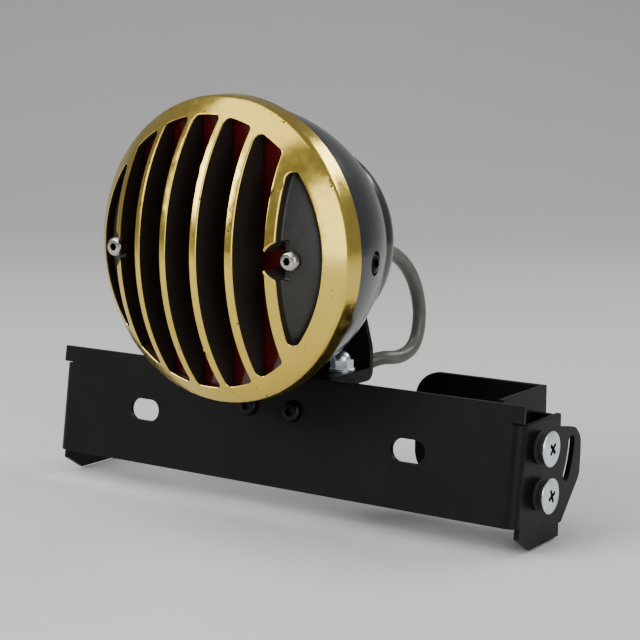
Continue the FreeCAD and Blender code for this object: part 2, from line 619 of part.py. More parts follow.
def make_shelf():
    """Angle bracket: a level shelf over the lamp bracket's foot and a leg down the back of the bar."""
    shelf = box(("0 - bracket_half", "shelf_front", "0 - steel"), ("bracket_half", "bracket_front", 0))
    leg = box(("0 - bracket_half", "bar_gauge", "0 - shelf_drop"),
              ("bracket_half", "bar_gauge + steel", "0 - play"))
    leg.Placement = bar_slope().multiply(leg.Placement)
    bar_screw_holes = [tilted_hole(side) for side in (-1, 1)]
    keep(cut(fuse(shelf, leg), *shelf_holes(), clip_hole("clip_nut"), *bar_screw_holes), "shelf_bracket")


def tilted_hole(side):
    """Cutter for a bar screw, square to the bar's sloping sheet."""
    hole = cylinder("bar_screw_shank", "steel * 8", (side * size("bar_screw_spacing / 2"), size("0 - steel * 4"),
                                                     size("0 - bar_screw_drop")), (0, 1, 0))
    hole.Placement = bar_slope().multiply(hole.Placement)
    return hole


def shelf_bolt(side):
    """A hexagon bolt up through both shelves, its washer and its dome nut."""
    x, y, washer_top = side * size("shelf_bolt_x"), size("shelf_bolt_y"), size("shelf_washer_gauge")
    under = (x, y, size("0 - 2 * steel"))
    shank = cylinder("shelf_shank", "steel * 2 + shelf_washer_gauge + dome_nut_height", under)
    bolt = fuse(hexagon("shelf_head", "shelf_head_height", under, (0, 0, -1)), shank)
    ring = washer((x, y, 0), (0, 0, 1), "shelf_washer", "shelf_washer_gauge", "shelf_hole")
    cap_base = size("shelf_washer_gauge + dome_nut_height - 0.5")
    cap = common(sphere("dome_cap", (x, y, cap_base + 0.2)),
                 cylinder("dome_nut", "dome_cap * 2", (x, y, cap_base)))
    body = fuse(hexagon("dome_nut", "dome_nut_height", (x, y, washer_top)), cap)
    return bolt, ring, cut(body, cylinder("shelf_shank", "dome_nut_height", (x, y, washer_top)))


def bar_screw(side):
    """A domed screw through the bar and the shelf's leg, and its nut behind them."""
    x, drop = side * size("bar_screw_spacing / 2"), size("0 - bar_screw_drop")
    front = screw((x, 0, drop), (0, -1, 0), "bar_screw_head", "bar_screw_height", "bar_screw_shank",
                  "bar_screw_length", "bar_screw_head * hex_key")
    back = nut((x, size("bar_gauge + steel"), drop), (0, 1, 0), "bar_nut", "bar_nut_height", "bar_screw_shank")
    for piece in (front, back):
        piece.Placement = bar_slope().multiply(piece.Placement)
    return front, back


def make_bracket_fasteners():
    """Shelf bolts with washers and dome nuts, bar screws with nuts, and the clip's screw."""
    for label, pieces in zip(("shelf_bolts", "shelf_washers", "dome_nuts"), zip(shelf_bolt(-1), shelf_bolt(1))):
        keep(group(*pieces), label)
    for label, pieces in zip(("bar_screws", "bar_nuts"), zip(bar_screw(-1), bar_screw(1))):
        keep(group(*pieces), label)
    under = (clip_centre().x, size("clip_hole_y"), size("0 - 2 * steel - clip_tab"))
    head = cylinder("clip_screw_head", "clip_screw_height", under, (0, 0, -1))
    keep(fuse(head, cylinder("clip_screw_shank", "clip_tab + steel + clip_nut_height", under)), "clip_screw")


def bar_bend(side):
    """The quarter bend between the bar's sheet and an ear."""
    bend, start, height = size("bend_radius"), size("0 - ear_start"), size("bar_height")
    middle = V(side * size("bar_half - bend_radius"), bend, -height)
    outer = Part.makeCylinder(bend, height + start, middle, V(0, 0, 1), 90)
    inner = Part.makeCylinder(size("bend_radius - bar_gauge"), height + start, middle, V(0, 0, 1), 90)
    corner = outer.cut(inner)
    corner.rotate(middle, V(0, 0, 1), -90 if side > 0 else 180)
    return feature_of(corner)


def make_bar():
    """Number-plate bar: a sloping sheet with plate slots, a flat tab at each top corner and two bent ears."""
    pieces = [box(("bend_radius - bar_half", 0, "0 - bar_height"), ("bar_half - bend_radius", "bar_gauge", 0)),
              box(("0 - bar_half", 0, "0 - tab_height"), ("bar_half", "bar_gauge", 0))]
    for side in (-1, 1):
        low_x, high_x = span(side, "bar_half - bar_gauge", "bar_half")
        pieces.append(bar_bend(side))
        pieces.append(box((low_x, "bend_radius", "0 - ear_blank"), (high_x, "ear_blank", "ear_spare - ear_start")))
    blank = fuse(*pieces)
    blank.Placement = bar_slope()
    keep(cut(blank, *ear_trims(), *bar_holes()), "plate_bar")


def ear_trims():
    """Cutters that give the ears a level top, an upright back edge, a level bottom and a sloping front corner."""
    left, right = "0 - bar_half - 1", "bar_half + 1"
    top = box((left, "ear_trim_start", "0 - ear_top"), (right, "trim_reach", 10))
    shield = box(("8 - bar_half - 1", "0 - trim_reach", "0 - trim_reach"), ("bar_half + 1 - 8", "trim_reach", 20))
    rear = box((left, "ear_rear", "0 - trim_reach"), (right, "trim_reach", 10))
    bottom = box((left, "0 - trim_reach", "0 - trim_reach"), (right, "trim_reach", "0 - ear_bottom"))
    corner = box((left, "0 - trim_reach", -30), (right, "trim_reach", 0))
    lean = FreeCAD.Placement(V(0, size("ear_trim_front"), size("0 - ear_trim_height")),
                             FreeCAD.Rotation(V(1, 0, 0), size("0 - ear_trim_angle")))
    corner.Placement = lean.multiply(corner.Placement)
    return [cut(fuse(top, rear, bottom, corner), shield)]


def plate_slot(side):
    """Cutter of one plate slot: a bar with round ends, square to the sloping sheet."""
    x = f"{side} * slot_spacing / 2"
    run = "( slot_length - slot_width ) / 2"
    middle = box((f"{x} - {run}", -5, "0 - slot_drop - slot_width / 2"),
                 (f"{x} + {run}", 8, "slot_width / 2 - slot_drop"))
    level = size("0 - slot_drop")
    ends = [cylinder("slot_width / 2", "slot_width * 1.3", (size(f"{x} + {way} * {run}"), -5, level), (0, 1, 0))
            for way in (-1, 1)]
    slot = fuse(middle, *ends)
    slot.Placement = bar_slope()
    return slot


def bar_holes():
    """Cutters through the bar: two plate slots, the two bar screw holes and the ear screw holes."""
    tools = []
    for side in (-1, 1):
        tools += [plate_slot(side), tilted_hole(side)]
        inside = side * size("bar_half - bar_gauge * 2")
        tools += [cylinder("ear_hole", "bar_gauge * 3", (inside, size("ear_screw_y"), level), (side, 0, 0))
                  for level in ear_screw_levels()]
    return tools


def ear_screw_levels():
    return [size("ear_screw_upper"), size("ear_screw_upper - ear_screw_pitch")]


def spacer(level):
    """A grooved rubber spacer between the ear and a screw's head."""
    start, y = size("bar_half"), size("ear_screw_y")
    third = size("spacer_length / 3")
    flanges = [cylinder("spacer_radius", "spacer_length / 3", (start + step * third, y, level), (1, 0, 0))
               for step in (0, 2)]
    waist = cylinder("spacer_waist", "spacer_length", (start, y, level), (1, 0, 0))
    return cut(fuse(*flanges, waist), cylinder("ear_shank", "spacer_length", (start, y, level), (1, 0, 0)))


def make_ear_fasteners():
    """Truss-head screws with grooved rubber spacers outside the ear, washers and nuts behind the arm."""
    y, levels = size("ear_screw_y"), ear_screw_levels()
    seat, back = size("bar_half + spacer_length"), size("lobe_face - arm_gauge - 0.1")
    keep(group(*[truss_screw((seat, y, level), "ear_head", "ear_head_height", "ear_shank",
                             "bar_gauge * 2 + spacer_length + washer_gauge + ear_nut_height + 1")
                 for level in levels]), "ear_screws")
    keep(group(*[spacer(level) for level in levels]), "ear_spacers")
    keep(group(*[washer((back, y, level), (-1, 0, 0), "ear_washer", "washer_gauge", "ear_hole")
                 for level in levels]), "ear_washers")
    nut_face = back - size("washer_gauge")
    keep(group(*[nut((nut_face, y, level), (-1, 0, 0), "ear_nut", "ear_nut_height", "ear_shank")
                 for level in levels]), "ear_nuts")


def arc_slot(centre, radius, middle_angle, half_angle, width):
    """A slot through the lobe plate that follows an arc about a point; angles are from +Y towards +Z."""
    low_x, length = size("lobe_face - 2 * arm_gauge"), size("3 * arm_gauge")

    def rim(distance, angle):
        turn = math.radians(angle)
        return V(low_x, centre[0] + distance * math.cos(turn), centre[1] + distance * math.sin(turn))

    low, high = middle_angle - half_angle, middle_angle + half_angle
    inner, outer = radius - width / 2, radius + width / 2
    edges = [Part.Arc(rim(inner, low), rim(inner, middle_angle), rim(inner, high)).toShape(),
             Part.LineSegment(rim(inner, high), rim(outer, high)).toShape(),
             Part.Arc(rim(outer, high), rim(outer, middle_angle), rim(outer, low)).toShape(),
             Part.LineSegment(rim(outer, low), rim(inner, low)).toShape()]
    solid = Part.Face(Part.Wire(edges)).extrude(V(length, 0, 0))
    for angle in (low, high):
        solid = solid.fuse(Part.makeCylinder(width / 2, length, rim(radius, angle), V(1, 0, 0)))
    return feature_of(solid.removeSplitter())


def lobe_plate():
    """The plate beside the ear: its rear corners step down to a rounded tail."""
    corners = [("lobe_front", "0 - lobe_top"), ("lobe_rear - 5.4", "0 - lobe_shoulder"), ("lobe_rear", "-24"),
               ("lobe_rear", "-31"), ("lobe_rear - 0.8", "-41"), ("lobe_rear - 18", "1.3 - lobe_bottom"),
               ("lobe_front + 4", "0 - lobe_bottom"), ("lobe_front", "6 - lobe_bottom")]
    rim = [V(0, size(y), size(z)) for y, z in corners]
    blank = feature_of(Part.Face(Part.makePolygon(rim + rim[:1])).extrude(V(size("arm_gauge"), 0, 0)))
    blank.Placement.Base = V(size("lobe_face - arm_gauge"), 0, 0)
    rear = size("lobe_rear - 10")
    return round_edges(blank, "lobe_corner",
                       lambda edge: runs_along(edge, (1, 0, 0)) and edge.BoundBox.YMin > rear)


def make_side_arm():
    """Welded arm: lobe plate with the arc slot, cross wall, side wall and the foot wall that bolts on."""
    cross = box(("side_face - arm_gauge", "cross_front", "0 - arm_height"),
                ("lobe_face - arm_gauge", "cross_front + arm_gauge", "0 - cross_top"))
    wall = box(("side_face - arm_gauge", "side_front", "0 - arm_height"), ("side_face", "foot_y", 0))
    foot = box(("foot_left", "foot_y - arm_gauge", "0 - arm_height"), ("side_face", "foot_y", 0))
    left = size("foot_left + 1")
    foot = round_edges(foot, "foot_corner",
                       lambda edge: runs_along(edge, (0, 1, 0)) and edge.BoundBox.XMax < left)
    pivot = (size("ear_screw_y"), size("ear_screw_upper"))
    inside = size("lobe_face - 2 * arm_gauge")
    tools = [cylinder("ear_shank + pivot_play", "arm_gauge * 3", (inside, *pivot), (1, 0, 0)),
             arc_slot(pivot, size("ear_screw_pitch"), -90, size("adjust_angle"), size("adjust_width")),
             arc_slot(pivot, size("arc_radius"), size("arc_middle_angle"), size("arc_half_angle"),
                      size("arc_width"))]
    for way in (-1, 1):
        foot_hole_at = (size(f"foot_x + {way} * foot_spacing / 2"), size("foot_y - 2 * arm_gauge"), size("foot_z"))
        tools.append(cylinder("foot_hole", "arm_gauge * 3", foot_hole_at, (0, 1, 0)))
    keep(cut(fuse(lobe_plate(), cross, wall, foot), *tools), "side_arm")


def make_lead_wires():
    """Two insulated wires inside the lamp, from the back of the socket to the grommet."""
    mouth, rear, front = cable_exit(), size("socket_rear"), size("grommet_front")
    run, across, drift = size("wire_run"), size("wire_across"), size("wire_drift")
    wires = []
    for side in (-1, 1):
        top, low = size("lamp_height") + side * size("wire_pitch"), mouth.z + side * size("wire_pitch") / 2
        route = [(0, rear, top), (0, rear + run, top), (across, rear + run + drift, top),
                 (mouth.x - across, front - run - drift, low), (mouth.x, front - run, low), (mouth.x, front, low)]
        wires.append(feature_of(tube(route, size("wire_radius"))))
    keep(group(*wires), "lead_wires")


def build_all():
    for make in (make_grille, make_lens_stack, make_housing, make_rear_cover, make_lamp_screws, make_bulb,
                 make_socket, make_lead_wires, make_cable, make_brackets, make_bracket_fasteners, make_bar,
                 make_ear_fasteners, make_side_arm):
        make()


def check_and_write():
    """Stop on any failed feature or bad shape, then write one file for each sub-part."""
    doc.recompute()
    for feature in doc.Objects:
        if "Invalid" in feature.State or "Error" in feature.State:
            raise RuntimeError(f"{feature.Label} failed: {feature.State}")
    os.makedirs("parts", exist_ok=True)
    for subpart in subparts:
        shape = subpart.Shape
        if shape.isNull() or not shape.isValid() or not shape.Solids:
            raise RuntimeError(f"{subpart.Label} has no valid solid")
        shape.exportStep(f"parts/{subpart.Label}.step")
        reach = shape.BoundBox
        print(f"{subpart.Label}: {len(shape.Solids)} solid(s), {shape.Volume:.0f} mm3, x {reach.XMin:.1f} "
              f"{reach.XMax:.1f} y {reach.YMin:.1f} {reach.YMax:.1f} z {reach.ZMin:.1f} {reach.ZMax:.1f}")


fill_sheet()
build_all()
check_and_write()
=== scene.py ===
"""Looks of a round tail light with a finned brass grille, on its number-plate bar and side arm.

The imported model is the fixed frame. Sizes are in millimetres unless a comment says otherwise, and places come
from the frame's own boxes.
"""

import json
import math

import bmesh
import bpy
from mathutils import Matrix, Vector

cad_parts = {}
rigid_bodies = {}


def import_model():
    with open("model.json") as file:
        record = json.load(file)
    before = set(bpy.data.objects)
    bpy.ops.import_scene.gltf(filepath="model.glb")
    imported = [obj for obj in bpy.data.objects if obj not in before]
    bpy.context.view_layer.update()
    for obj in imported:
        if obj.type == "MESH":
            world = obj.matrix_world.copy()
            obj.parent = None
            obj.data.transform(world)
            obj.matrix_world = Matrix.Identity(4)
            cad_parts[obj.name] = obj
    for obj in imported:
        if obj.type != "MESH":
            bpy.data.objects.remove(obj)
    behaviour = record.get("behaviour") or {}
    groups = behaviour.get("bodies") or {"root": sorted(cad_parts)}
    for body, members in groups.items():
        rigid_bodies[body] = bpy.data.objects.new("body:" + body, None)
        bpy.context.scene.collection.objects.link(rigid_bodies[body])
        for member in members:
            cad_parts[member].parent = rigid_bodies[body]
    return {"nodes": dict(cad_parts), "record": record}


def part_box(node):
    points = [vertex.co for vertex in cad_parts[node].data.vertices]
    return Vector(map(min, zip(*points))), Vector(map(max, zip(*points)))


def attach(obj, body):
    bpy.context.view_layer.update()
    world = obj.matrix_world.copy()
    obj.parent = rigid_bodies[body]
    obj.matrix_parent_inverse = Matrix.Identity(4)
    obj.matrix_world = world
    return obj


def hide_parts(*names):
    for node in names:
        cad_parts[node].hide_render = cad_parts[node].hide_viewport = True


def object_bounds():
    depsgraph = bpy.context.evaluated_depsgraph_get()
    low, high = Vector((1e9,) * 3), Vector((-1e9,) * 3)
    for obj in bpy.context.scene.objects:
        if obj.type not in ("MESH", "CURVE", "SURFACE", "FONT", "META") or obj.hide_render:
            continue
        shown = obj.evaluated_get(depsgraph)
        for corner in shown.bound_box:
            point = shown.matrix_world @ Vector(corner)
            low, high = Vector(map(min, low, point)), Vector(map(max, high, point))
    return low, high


bl_info = {
    "name": "Tail light on a plate bar",
    "version": (1, 0, 0),
    "blender": (4, 5, 0),
    "location": "3D View > Sidebar > Tail light",
    "description": "Builds the visible pieces of a tail light around its packed model",
    "category": "Object",
}

for leftover in list(bpy.data.objects):
    bpy.data.objects.remove(leftover)

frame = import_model()
CAD_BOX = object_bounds()
MM = 0.001
LAMP_BODY = "lamp_and_bar"
ARM_BODY = "arm"
X, Y, Z = range(3)
LOW, HIGH = 0, 1
X_AXIS, Y_AXIS, Z_AXIS = (1, 0, 0), (0, 1, 0), (0, 0, 1)

# the grille: its dome, the circle where the dome meets the band, and the circle that the slots end on
DOME_RADIUS, SHOULDER_RADIUS, SLOT_RADIUS = 88.0, 65.6, 57.5
DOME_TOLERANCE, CIRCLE_TOLERANCE, SLOT_MARGIN = 0.62, 0.3, 1.0

# places on the sloping bar, measured down its face from the top edge
SLOT_DROP, SCREW_DROP, HALF_SCREW_SPACING = 25.5, 16.0, 12.0

# fasteners: radii over the heads (hexagons over their corners), heights, and half widths of sockets
GRILLE_HEAD, GRILLE_HEAD_HEIGHT, GRILLE_HEAD_RIM, GRILLE_KEY, GRILLE_KEY_DEPTH = 4.5, 4.2, 0.924, 1.6, 2.52
BAR_HEAD, BAR_HEAD_HEIGHT, BAR_HEAD_RIM, BAR_KEY, BAR_KEY_DEPTH = 4.75, 2.75, 0.6, 1.9, 1.7
BAR_NUT, BAR_NUT_HEIGHT, BAR_SHANK, BAR_THREAD = 4.6, 4.0, 2.5, 0.8
BAR_STACK = 5.5     # bar and shelf leg together, between the screw's head and its nut
SHELF_HEAD, SHELF_HEAD_HEIGHT = 5.77, 4.0
SHELF_WASHER, SHELF_WASHER_BORE, SHELF_WASHER_GAUGE = 6.0, 3.25, 1.2
DOME_NUT, DOME_NUT_HEIGHT, DOME_CAP, DOME_CAP_BASE, DOME_CAP_RISE = 5.2, 3.8, 4.0, 3.7, 3.9
EAR_HEAD, EAR_HEAD_HEIGHT, EAR_HEAD_CROWN, EAR_SHANK, EAR_THREAD = 7.5, 1.3, 37.5, 3.0, 0.9
CROSS_ARM, CROSS_HALF_WIDTH, CROSS_DEPTH, CROSS_TAPER = 3.1, 0.85, 2.4, 0.5
EAR_TURNS = (25, 45)    # how far each cross happens to be turned, in degrees
EAR_WASHER, EAR_WASHER_BORE, EAR_WASHER_GAUGE, EAR_NUT = 6.4, 3.2, 1.1, 5.8
SHANK_BELOW_SEAT = 4.0  # how far a truss head's own stub of shank goes down, past the recess's floor

# the route of the cable, in metres: from the grommet, round the loop behind the lamp and along the bar's back
CABLE_ROUTE = (
    (-0.056, -0.003, 0.0785), (-0.0557, 0.009, 0.0775), (-0.055, 0.023, 0.071), (-0.0545, 0.034, 0.059),
    (-0.0545, 0.039, 0.043), (-0.0545, 0.0345, 0.0285), (-0.055, 0.021, 0.0245), (-0.0585, 0.008, 0.0265),
    (-0.068, 0.0005, 0.02), (-0.081, -0.001, 0.0125), (-0.097, -0.001, 0.0105), (-0.11, -0.003, 0.0045),
    (-0.123, -0.006, 0.0005),
)

# the colour mix node's sockets
MIX_FACTOR, MIX_FIRST, MIX_SECOND, MIX_RESULT = 0, 6, 7, 2


def linear(code):
    """A colour written as sRGB hex, as linear red, green, blue and alpha."""
    parts = [int(code[i:i + 2], 16) / 255 for i in (1, 3, 5)]
    return tuple(p / 12.92 if p <= 0.04045 else ((p + 0.055) / 1.055) ** 2.4 for p in parts) + (1.0,)


def colour_property(name, description, code):
    return bpy.props.FloatVectorProperty(name=name, description=description, subtype="COLOR", size=4,
                                         min=0.0, max=1.0, default=linear(code))


def length_property(name, description, millimetres):
    return bpy.props.FloatProperty(name=name, description=description, unit="LENGTH", subtype="DISTANCE",
                                   default=millimetres * MM)


class TailLightSizes(bpy.types.PropertyGroup):
    """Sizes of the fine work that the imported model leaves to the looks."""
    edge_radius: length_property("Edge radius", "Rounding on the edges of pressed sheet", 0.35)
    casting_radius: length_property("Casting radius", "Rounding on the polished edges of the grille", 0.7)
    shoulder_radius: length_property("Shoulder radius", "Rounding between the grille's dome and band", 1.6)
    cable_diameter: length_property("Cable diameter", "Outside of the vinyl sleeve", 6.6)


class TailLightFinishes(bpy.types.PropertyGroup):
    """Colours that a user would change."""
    brass: colour_property("Brass", "Polished cast brass", "#E8CA5E")
    # the lens's default red is darkened as painted shade, for the lens seen in shadow between the fins
    red: colour_property("Lens", "Moulded red lens", "#5A0509")
    black: colour_property("Black coat", "Powder coat of the bar and brackets", "#0B0B0A")
    gloss: colour_property("Gloss black", "Coat of the lamp's housing", "#161719")
    cable: colour_property("Cable", "Vinyl sleeve of the cable", "#52524D")
    floor: colour_property("Floor", "Studio floor", "#D9D9D6")


class TailLightStudio(bpy.types.PropertyGroup):
    """Camera and lights."""
    camera_x: length_property("Camera X", "Camera's place along the bar", 344.3)
    camera_y: length_property("Camera Y", "Camera's place in front of the foot", -629.0)
    camera_z: length_property("Camera Z", "Camera's height over the foot", 160.8)
    yaw: bpy.props.FloatProperty(name="Yaw", description="Turn to the left of +Y", subtype="ANGLE",
                                 default=math.radians(34.4))
    pitch: bpy.props.FloatProperty(name="Pitch", description="Tilt below the horizon", subtype="ANGLE",
                                   default=math.radians(8.82))
    roll: bpy.props.FloatProperty(name="Roll", description="Turn about the view", subtype="ANGLE",
                                  default=math.radians(0.23))
    lens: bpy.props.FloatProperty(name="Lens", description="Focal length in millimetres", default=91.9)


# ---------------------------------------------------------------- material helpers

def add(tree, kind, links=None, **settings):
    """Add a node, set its properties, and fill its inputs with values or with other nodes' outputs."""
    node = tree.nodes.new(kind)
    for name, value in settings.items():
        setattr(node, name, value)
    for key, source in (links or {}).items():
        if isinstance(source, bpy.types.NodeSocket):
            tree.links.new(source, node.inputs[key])
        else:
            node.inputs[key].default_value = source
    return node


def finish(name, **shader_values):
    """A new material and its shader, with constants on its own sockets; an underscore stands for a space."""
    material = bpy.data.materials.new(name)
    material.use_nodes = True
    tree = material.node_tree
    shader = tree.nodes["Principled BSDF"]
    for key, value in shader_values.items():
        shader.inputs[key.replace("_", " ")].default_value = value
    return material, tree, shader


def place_of(tree):
    """Object coordinates, in metres from the row's origin."""
    return add(tree, "ShaderNodeTexCoord").outputs["Object"]


def noise(tree, grain_mm, detail=3.0, roughness=0.55, where=None):
    """Soft random pattern whose patches are about grain_mm across."""
    return add(tree, "ShaderNodeTexNoise", {"Vector": where or place_of(tree), "Scale": 1000 / grain_mm,
                                            "Detail": detail, "Roughness": roughness}).outputs["Fac"]


def ramp(tree, source, low, high, low_value, high_value):
    """Stretch part of a pattern's range onto another range."""
    return add(tree, "ShaderNodeMapRange", {"Value": source, "From Min": low, "From Max": high,
                                            "To Min": low_value, "To Max": high_value}).outputs["Result"]


def blend_colours(tree, factor, first, second):
    """Mix two colours by a pattern."""
    mix = add(tree, "ShaderNodeMix", data_type="RGBA")
    for index, source in ((MIX_FACTOR, factor), (MIX_FIRST, first), (MIX_SECOND, second)):
        if isinstance(source, bpy.types.NodeSocket):
            tree.links.new(source, mix.inputs[index])
        else:
            mix.inputs[index].default_value = source
    return mix.outputs[MIX_RESULT]


def bump(tree, height, depth_mm, strength=1.0, normal=None):
    """Turn a pattern into relief of depth_mm."""
    links = {"Height": height, "Distance": depth_mm * MM, "Strength": strength}
    if normal:
        links["Normal"] = normal
    return add(tree, "ShaderNodeBump", links).outputs["Normal"]


# ---------------------------------------------------------------- materials

def polished_cast_brass(colour):
    """Sand-cast brass, buffed by hand: warm mirror faces with small open pits, painted dark as the shade inside
    them, and a little tarnish.
    """
    material, tree, shader = finish("polished_cast_brass", Metallic=1.0)
    patches = noise(tree, 38.0, detail=4.0)
    tarnish = ramp(tree, patches, 0.42, 0.74, 0.0, 0.55)
    dull = tuple(c * f for c, f in zip(colour[:3], (0.80, 0.68, 0.44))) + (1.0,)
    body = blend_colours(tree, tarnish, tuple(colour), dull)
    # painted shade: the pits get a dark brown colour that stands in for the shade inside them
    cells = add(tree, "ShaderNodeTexVoronoi", {"Vector": place_of(tree), "Scale": 1000 / 3.4}, feature="F1")
    scatter = ramp(tree, noise(tree, 9.0), 0.46, 0.66, 0.02, 0.13)
    painted_pit_shade = add(tree, "ShaderNodeMath", {0: cells.outputs["Distance"], 1: scatter},
              operation="LESS_THAN").outputs["Value"]
    shaded = blend_colours(tree, painted_pit_shade, body, linear("#3A2A0E"))
    tree.links.new(shaded, shader.inputs["Base Color"])
    wipe = noise(tree, 4.0, detail=6.0, roughness=0.7)
    rough = ramp(tree, wipe, 0.3, 0.75, 0.13, 0.30)
    tree.links.new(rough, shader.inputs["Roughness"])
    waves = bump(tree, noise(tree, 7.0, detail=2.0), 0.05, 0.55)
    depth = ramp(tree, cells.outputs["Distance"], 0.0, 0.16, 0.0, 1.0)
    tree.links.new(bump(tree, depth, 0.05, 0.4, waves), shader.inputs["Normal"])
    return material


def recess_paint():
    """Black enamel brushed into the slots of the grille: satin and slightly uneven."""
    material, tree, shader = finish("black_recess_enamel", IOR=1.5, Base_Color=linear("#211E19"))
    tree.links.new(ramp(tree, noise(tree, 3.0), 0.3, 0.7, 0.32, 0.5), shader.inputs["Roughness"])
    tree.links.new(bump(tree, noise(tree, 1.2), 0.04, 0.6), shader.inputs["Normal"])
    return material


def moulded_red_lens(colour):
    """Injection-moulded acrylic: deep clear red with a smooth skin; the red is darkened further as painted
    shade for the lens lying behind the fins.
    """
    material, tree, shader = finish("red_acrylic_with_painted_shade", IOR=1.49, Roughness=0.12, Transmission_Weight=0.25)
    shade = blend_colours(tree, noise(tree, 20.0), tuple(colour), tuple(c * 0.7 for c in colour[:3]) + (1.0,))
    tree.links.new(shade, shader.inputs["Base Color"])
    return material


def black_coat(name, colour, rough_low, rough_high, grain_mm, depth_mm, shine, coat):
    """Powder coat baked on steel: a fine orange-peel skin under an even black."""
    material, tree, shader = finish(name, IOR=1.5, Specular_IOR_Level=shine, Coat_Weight=coat,
                                    Coat_Roughness=0.06)
    lighter = tuple(c * 1.35 + 0.001 for c in colour[:3]) + (1.0,)
    patches = ramp(tree, noise(tree, 25.0), 0.35, 0.7, 0.0, 1.0)
    tree.links.new(blend_colours(tree, patches, tuple(colour), lighter), shader.inputs["Base Color"])
    tree.links.new(ramp(tree, noise(tree, 6.0, detail=5.0), 0.3, 0.7, rough_low, rough_high),
                   shader.inputs["Roughness"])
    tree.links.new(bump(tree, noise(tree, grain_mm, detail=2.0), depth_mm, 0.5), shader.inputs["Normal"])
    return material


def plated_metal(name, code, rough_low, rough_high, tint, grain_mm=1.6):
    """Plated or bare metal: an even bright skin with a faint cloud of tint and fine tool marks."""
    material, tree, shader = finish(name, Metallic=1.0)
    cloud = ramp(tree, noise(tree, 5.0), 0.35, 0.7, 0.0, 1.0)
    tree.links.new(blend_colours(tree, cloud, linear(code), linear(tint)), shader.inputs["Base Color"])
    tree.links.new(ramp(tree, noise(tree, grain_mm, detail=5.0), 0.3, 0.7, rough_low, rough_high),
                   shader.inputs["Roughness"])
    tree.links.new(bump(tree, noise(tree, 0.5), 0.01, 0.35), shader.inputs["Normal"])
    return material


def moulded_rubber(name, code, roughness=0.72):
    """Moulded rubber: nearly black, dull, with a fine mould grain and pale dust in the low spots."""
    material, tree, shader = finish(name, IOR=1.52)
    dusty = tuple(c * 2.4 + 0.004 for c in linear(code)[:3]) + (1.0,)
    dust = ramp(tree, noise(tree, 2.5, detail=6.0), 0.5, 0.8, 0.0, 0.6)
    tree.links.new(blend_colours(tree, dust, linear(code), dusty), shader.inputs["Base Color"])
    tree.links.new(ramp(tree, noise(tree, 1.5), 0.3, 0.7, roughness - 0.1, roughness + 0.1),
                   shader.inputs["Roughness"])
    tree.links.new(bump(tree, noise(tree, 0.7), 0.05, 0.5), shader.inputs["Normal"])
    return material


def extruded_vinyl(colour):
    """Extruded vinyl sleeving: dark grey, satin, slightly wavy along its length, with rubbed dull patches."""
    material, tree, shader = finish("extruded_vinyl_sleeving", IOR=1.53)
    rubbed = tuple(c * 1.5 + 0.004 for c in colour[:3]) + (1.0,)
    patches = ramp(tree, noise(tree, 9.0, detail=5.0), 0.4, 0.75, 0.0, 1.0)
    tree.links.new(blend_colours(tree, patches, tuple(colour), rubbed), shader.inputs["Base Color"])
    tree.links.new(ramp(tree, noise(tree, 3.0, detail=5.0), 0.3, 0.7, 0.30, 0.48), shader.inputs["Roughness"])
    tree.links.new(bump(tree, noise(tree, 5.0), 0.12, 0.5), shader.inputs["Normal"])
    return material


def clear_bulb_glass():
    """Blown lamp glass: thin, clear and faintly warm."""
    material, tree, shader = finish("blown_bulb_glass", IOR=1.5, Roughness=0.03, Transmission_Weight=0.9)
    tree.links.new(blend_colours(tree, noise(tree, 12.0), linear("#F4EFE2"), linear("#E8E0D0")),
                   shader.inputs["Base Color"])
    return material


def pressed_board():
    """Phenolic board: brown paper laminate, waxy, with a fine fleck."""
    material, tree, shader = finish("phenolic_board", IOR=1.5, Roughness=0.5)
    tree.links.new(blend_colours(tree, noise(tree, 0.8, detail=6.0), linear("#4A2C18"), linear("#6B4326")),
                   shader.inputs["Base Color"])
    return material


def moulded_nylon(name, code):
    """Moulded nylon: matt black with a light spark-eroded texture."""
    material, tree, shader = finish(name, IOR=1.53)
    lighter = tuple(c * 1.8 + 0.003 for c in linear(code)[:3]) + (1.0,)
    tree.links.new(blend_colours(tree, noise(tree, 1.2, detail=5.0), linear(code), lighter),
                   shader.inputs["Base Color"])
    tree.links.new(ramp(tree, noise(tree, 2.0), 0.3, 0.7, 0.42, 0.6), shader.inputs["Roughness"])
    tree.links.new(bump(tree, noise(tree, 0.4), 0.03, 0.5), shader.inputs["Normal"])
    return material


def painted_floor(colour):
    """Matt painted studio board: pale and even with a breath of mottling."""
    material, tree, shader = finish("painted_board", Roughness=0.7, IOR=1.45)
    darker = tuple(c * 0.96 for c in colour[:3]) + (1.0,)
    mottling = noise(tree, 120.0)
    tree.links.new(blend_colours(tree, mottling, tuple(colour), darker), shader.inputs["Base Color"])
    return material


MATERIALS = {}


